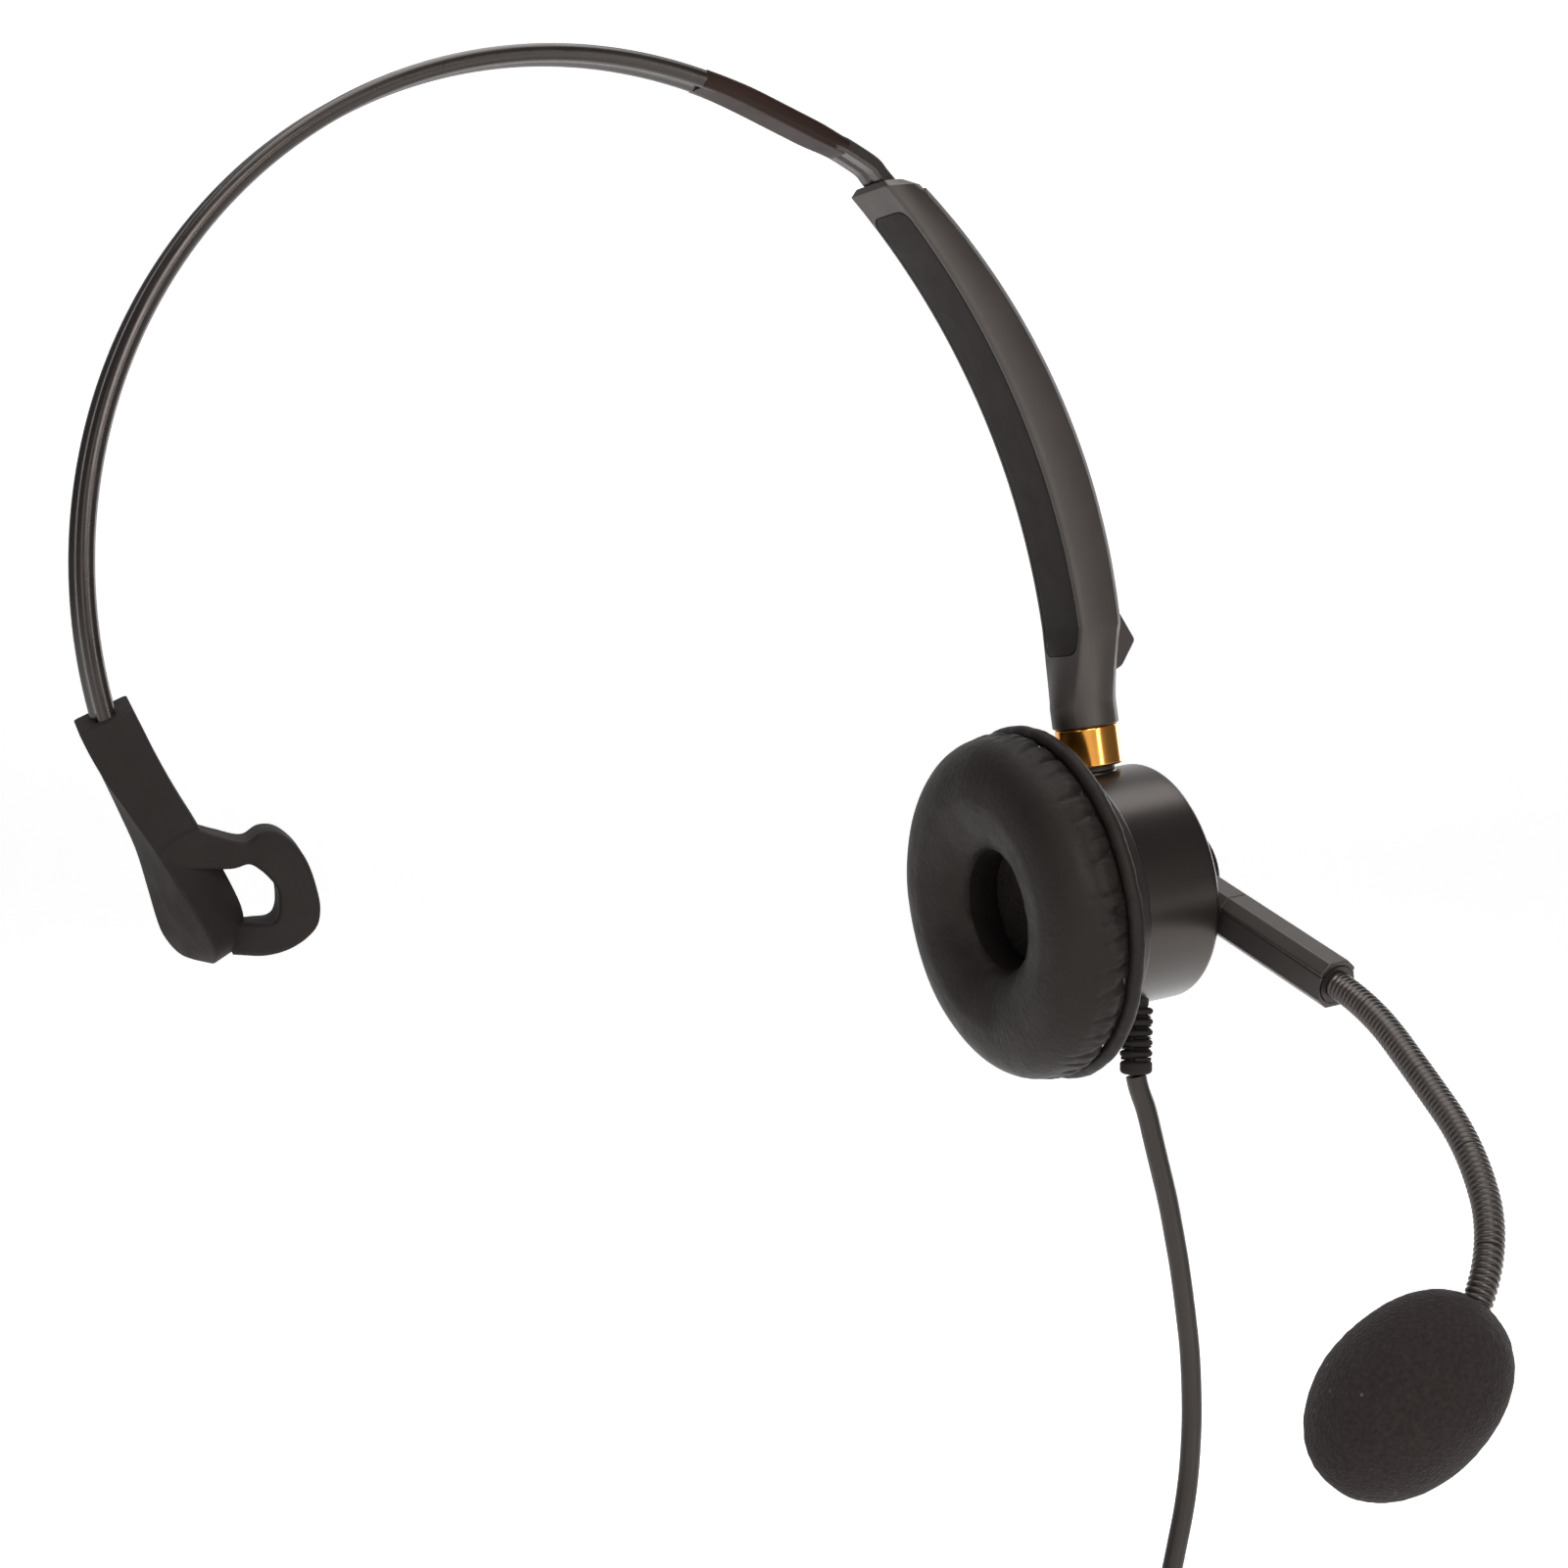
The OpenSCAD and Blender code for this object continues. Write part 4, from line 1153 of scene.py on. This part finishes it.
def between(stations, t):
    """Smooth values at a position along stations given as (position, value, ...)."""
    i = 0
    while i < len(stations) - 2 and t > stations[i + 1][0]:
        i += 1
    last = len(stations) - 1
    p = [stations[min(max(j, 0), last)] for j in (i - 1, i, i + 1, i + 2)]
    span = p[2][0] - p[1][0]
    u = min(max((t - p[1][0]) / span, 0), 1)
    out = []
    for c in range(1, len(p[1])):
        a = (p[2][c] - p[0][c]) / (p[2][0] - p[0][0]) * span
        b = (p[3][c] - p[1][c]) / (p[3][0] - p[1][0]) * span
        out.append(
            (2 * u**3 - 3 * u**2 + 1) * p[1][c] + (u**3 - 2 * u**2 + u) * a
            + (-2 * u**3 + 3 * u**2) * p[2][c] + (u**3 - u**2) * b
        )
    return out


# Depth, then x and y of four corners: the spine's crease, inner front, inner back, outer back.
BLADE = [
    (0.0, -3.8, -4.4, 3.9, -4.4, 3.9, 4.4, -3.8, 4.4),
    (4.0, -3.8, -4.5, 3.9, -4.45, 3.9, 4.5, -3.8, 4.5),
    (8.0, -3.5, -4.7, 3.9, -4.5, 3.9, 4.6, -3.9, 4.7),
    (13.0, -2.7, -5.2, 4.1, -4.5, 4.1, 4.8, -4.1, 5.2),
    (19.0, -1.8, -6.2, 4.6, -3.8, 4.6, 5.0, -4.5, 6.0),
    (24.0, -1.3, -7.2, 4.9, -1.8, 4.7, 6.0, -5.4, 6.8),
    (30.0, -0.8, -8.1, 5.0, 0.6, 4.1, 7.0, -6.5, 7.0),
    (32.4, -0.7, -8.2, 4.7, -0.2, 3.4, 6.6, -6.4, 6.8),
    (34.6, -0.9, -7.0, 3.6, -0.9, 2.4, 5.4, -5.6, 5.8),
    (35.8, -1.5, -4.6, 2.2, -0.9, 1.4, 3.9, -4.2, 4.2),
    (36.5, -2.0, -2.0, 0.6, -0.6, 0.0, 2.0, -2.8, 2.4),
]


def pad_section(depth, shrink=0.0):
    v = between(BLADE, depth)
    points = [Vector((v[i], v[i + 1])) for i in range(0, 8, 2)]
    middle = sum(points, Vector((0, 0))) / 4
    points = [p + (middle - p) * shrink for p in points]
    radii = [0.3, 0.7, 0.8, 0.6]
    return rounded([(p.x, p.y, r) for p, r in zip(points, radii)], 5)


def pad_piece():
    rings = []

    def ring(depth, shrink=0.0, lift=0.0):
        row = []
        for p in pad_section(depth, shrink):
            mouth = 0.16 * p.y if depth < 3 else 0.0
            fade = 1 - smoothstep(depth / 3) if depth < 3 else 0.0
            row.append(pad_point(p.x, p.y, depth - mouth * fade - lift))
        return row

    def socket(depth):
        """The rectangular hole that the band runs into, matched to the outline's points."""
        row = []
        for p in pad_section(0.0):
            reach = 1 / max(abs(p.x) / 1.2, abs(p.y) / 3.0, 1e-6)
            row.append(pad_point(p.x * reach, p.y * reach, depth - 0.16 * p.y * reach))
        return row

    rings.append(socket(0.8))
    rings.append(socket(0.35))
    rings.append([a.lerp(b, 0.25) for a, b in zip(socket(0.05), ring(0.0))])
    rings.append([a.lerp(b, 0.75) for a, b in zip(socket(0.0), ring(0.0))])
    rings.append(ring(0.12))
    rings += [ring(d) for d in np.linspace(0.5, 33, 60)]
    rings += [ring(d) for d in np.linspace(33.4, 36.3, 12)]
    rings.append(ring(36.45, 0.3))
    rings.append(ring(36.5, 0.7, -0.05))
    obj = make_object("pad_blade", *skin(rings), rubber_black, 55)
    weighted(obj)
    return obj


pad = pad_piece()
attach(pad, "band")
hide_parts("temple_pad")

# Place along the strap, then the outer and inner edge as (x, depth), and front and back y.
STRAP = [
    (0, -1.7, 18.9, -1.7, 20.6, -6.35, -3.0),
    (1, 1.0, 18.4, 0.4, 22.6, -5.6, -1.0),
    (2, 3.9, 18.7, 3.2, 24.2, -4.75, 2.0),
    (3, 6.0, 20.7, 6.2, 25.7, -4.4, 4.8),
    (4, 9.0, 23.2, 8.3, 26.1, -4.5, 5.2),
    (5, 11.6, 23.0, 9.3, 27.4, -4.8, 4.6),
    (6, 13.6, 24.0, 9.9, 28.9, -5.0, 4.2),
    (7, 14.9, 26.5, 10.2, 30.3, -5.0, 4.2),
    (8, 15.3, 29.4, 10.1, 31.4, -5.0, 4.2),
    (9, 14.9, 32.8, 9.4, 33.1, -5.0, 4.2),
    (10, 14.0, 35.9, 8.7, 34.1, -5.0, 4.4),
    (11, 12.2, 38.0, 8.0, 34.6, -5.0, 4.6),
    (12, 8.6, 38.9, 7.0, 34.6, -4.7, 4.6),
    (13, 4.8, 38.4, 5.2, 33.8, -3.6, 4.0),
    (14, 1.0, 36.6, 2.4, 32.6, -1.6, 2.6),
]


def strap_piece():
    """The soft loop: a broad strap that leaves the blade, rounds over and comes back."""
    rings = []
    for k in range(141):
        ox, od, ix, idp, front, back = between(STRAP, k / 10)
        w = math.hypot(ox - ix, od - idp)
        h = back - front
        outline = rounded([(0, 0, 0.7), (w, 0, 0.9), (w, h, 0.9), (0, h, 0.7)], 5)
        row = []
        for p in outline:
            t = p.x / w
            bulge = 0.25 * math.sin(math.pi * p.y / h) * (2 * t - 1)
            x, d = mix(ix, ox, t), mix(idp, od, t)
            x += bulge * (ox - ix) / w
            d += bulge * (od - idp) / w
            row.append(pad_point(x, front + p.y, d))
        rings.append(row)
    obj = make_object("pad_loop", *skin(rings), rubber_black, 50)
    weighted(obj)
    return obj


loop = strap_piece()
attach(loop, "band")
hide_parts("temple_loop")


# ---------- Stage ----------


PAPER_GLOW = 0.55
ROOM_LIGHT = 0.12


def stage_sheet():
    """A pale floor that curves up into a backdrop well behind the object."""
    rings = []
    knots = [
        Vector((0, -3, -0.34)), Vector((0, -1, -0.34)), Vector((0, 1, -0.34)),
        Vector((0, 2, -0.34)), Vector((0, 2.7, -0.1)), Vector((0, 2.9, 0.8)),
        Vector((0, 2.9, 3)),
    ]
    side = Matrix.Rotation(AZIMUTH, 3, "Z")
    for p in spline_points(knots, 60):
        rings.append([side @ Vector((x, p.y, p.z)) for x in np.linspace(-4, 4, 9)])
    m = Nodes("paper", (0.9, 0.9, 0.9), 0.95, specular=0.1)
    m.tint(m.noise(3, 3), (0.88, 0.88, 0.88), (0.92, 0.92, 0.92))
    m.relief(m.noise(900, 2), 0.05, 0.0002)
    m.shader.inputs["Emission Color"].default_value = (1, 1, 1, 1)
    m.shader.inputs["Emission Strength"].default_value = PAPER_GLOW
    points, faces = skin(rings, close_u=False, caps=(False, False))
    return make_object("backdrop", points, faces, m.material, 0)


stage_sheet()


def softbox(name, place, aim, size, power):
    """A rectangular light at a place, aimed at a point; metres and watts."""
    light = bpy.data.lights.new(name, "AREA")
    light.shape = "RECTANGLE"
    light.size, light.size_y = size
    light.energy = power
    obj = bpy.data.objects.new(name, light)
    obj.location = place
    obj.rotation_euler = (Vector(aim) - Vector(place)).to_track_quat("-Z", "Y").to_euler()
    bpy.context.scene.collection.objects.link(obj)


softbox("front", (-0.22, -0.95, 0.3), (0.03, 0, -0.1), (0.5, 0.5), 8)
softbox("strip", (0.26, -1.0, -0.05), (0.09, 0, -0.12), (0.1, 0.5), 2.2)
softbox("top", (0.0, 0.05, 1.1), (0.03, 0, -0.1), (1.4, 1.1), 19)
softbox("left", (-1.0, -0.6, 0.0), (-0.06, 0, -0.08), (0.3, 0.9), 2.4)
softbox("right", (1.1, 0.45, 0.1), (0.05, 0, -0.1), (0.3, 1.2), 5)

world = bpy.data.worlds.new("studio")
world.use_nodes = True
tree = world.node_tree
sky = tree.nodes["Background"]
sky.inputs["Color"].default_value = (1, 1, 1, 1)
sky.inputs["Strength"].default_value = ROOM_LIGHT
paper = tree.nodes.new("ShaderNodeBackground")
paper.inputs["Color"].default_value = (1, 1, 1, 1)
paper.inputs["Strength"].default_value = 1.0
seen = tree.nodes.new("ShaderNodeLightPath")
either = tree.nodes.new("ShaderNodeMixShader")
tree.links.new(seen.outputs["Is Camera Ray"], either.inputs["Fac"])
tree.links.new(sky.outputs["Background"], either.inputs[1])
tree.links.new(paper.outputs["Background"], either.inputs[2])
tree.links.new(either.outputs["Shader"], tree.nodes["World Output"].inputs["Surface"])
bpy.context.scene.world = world
bpy.context.scene.view_settings.view_transform = "Standard"
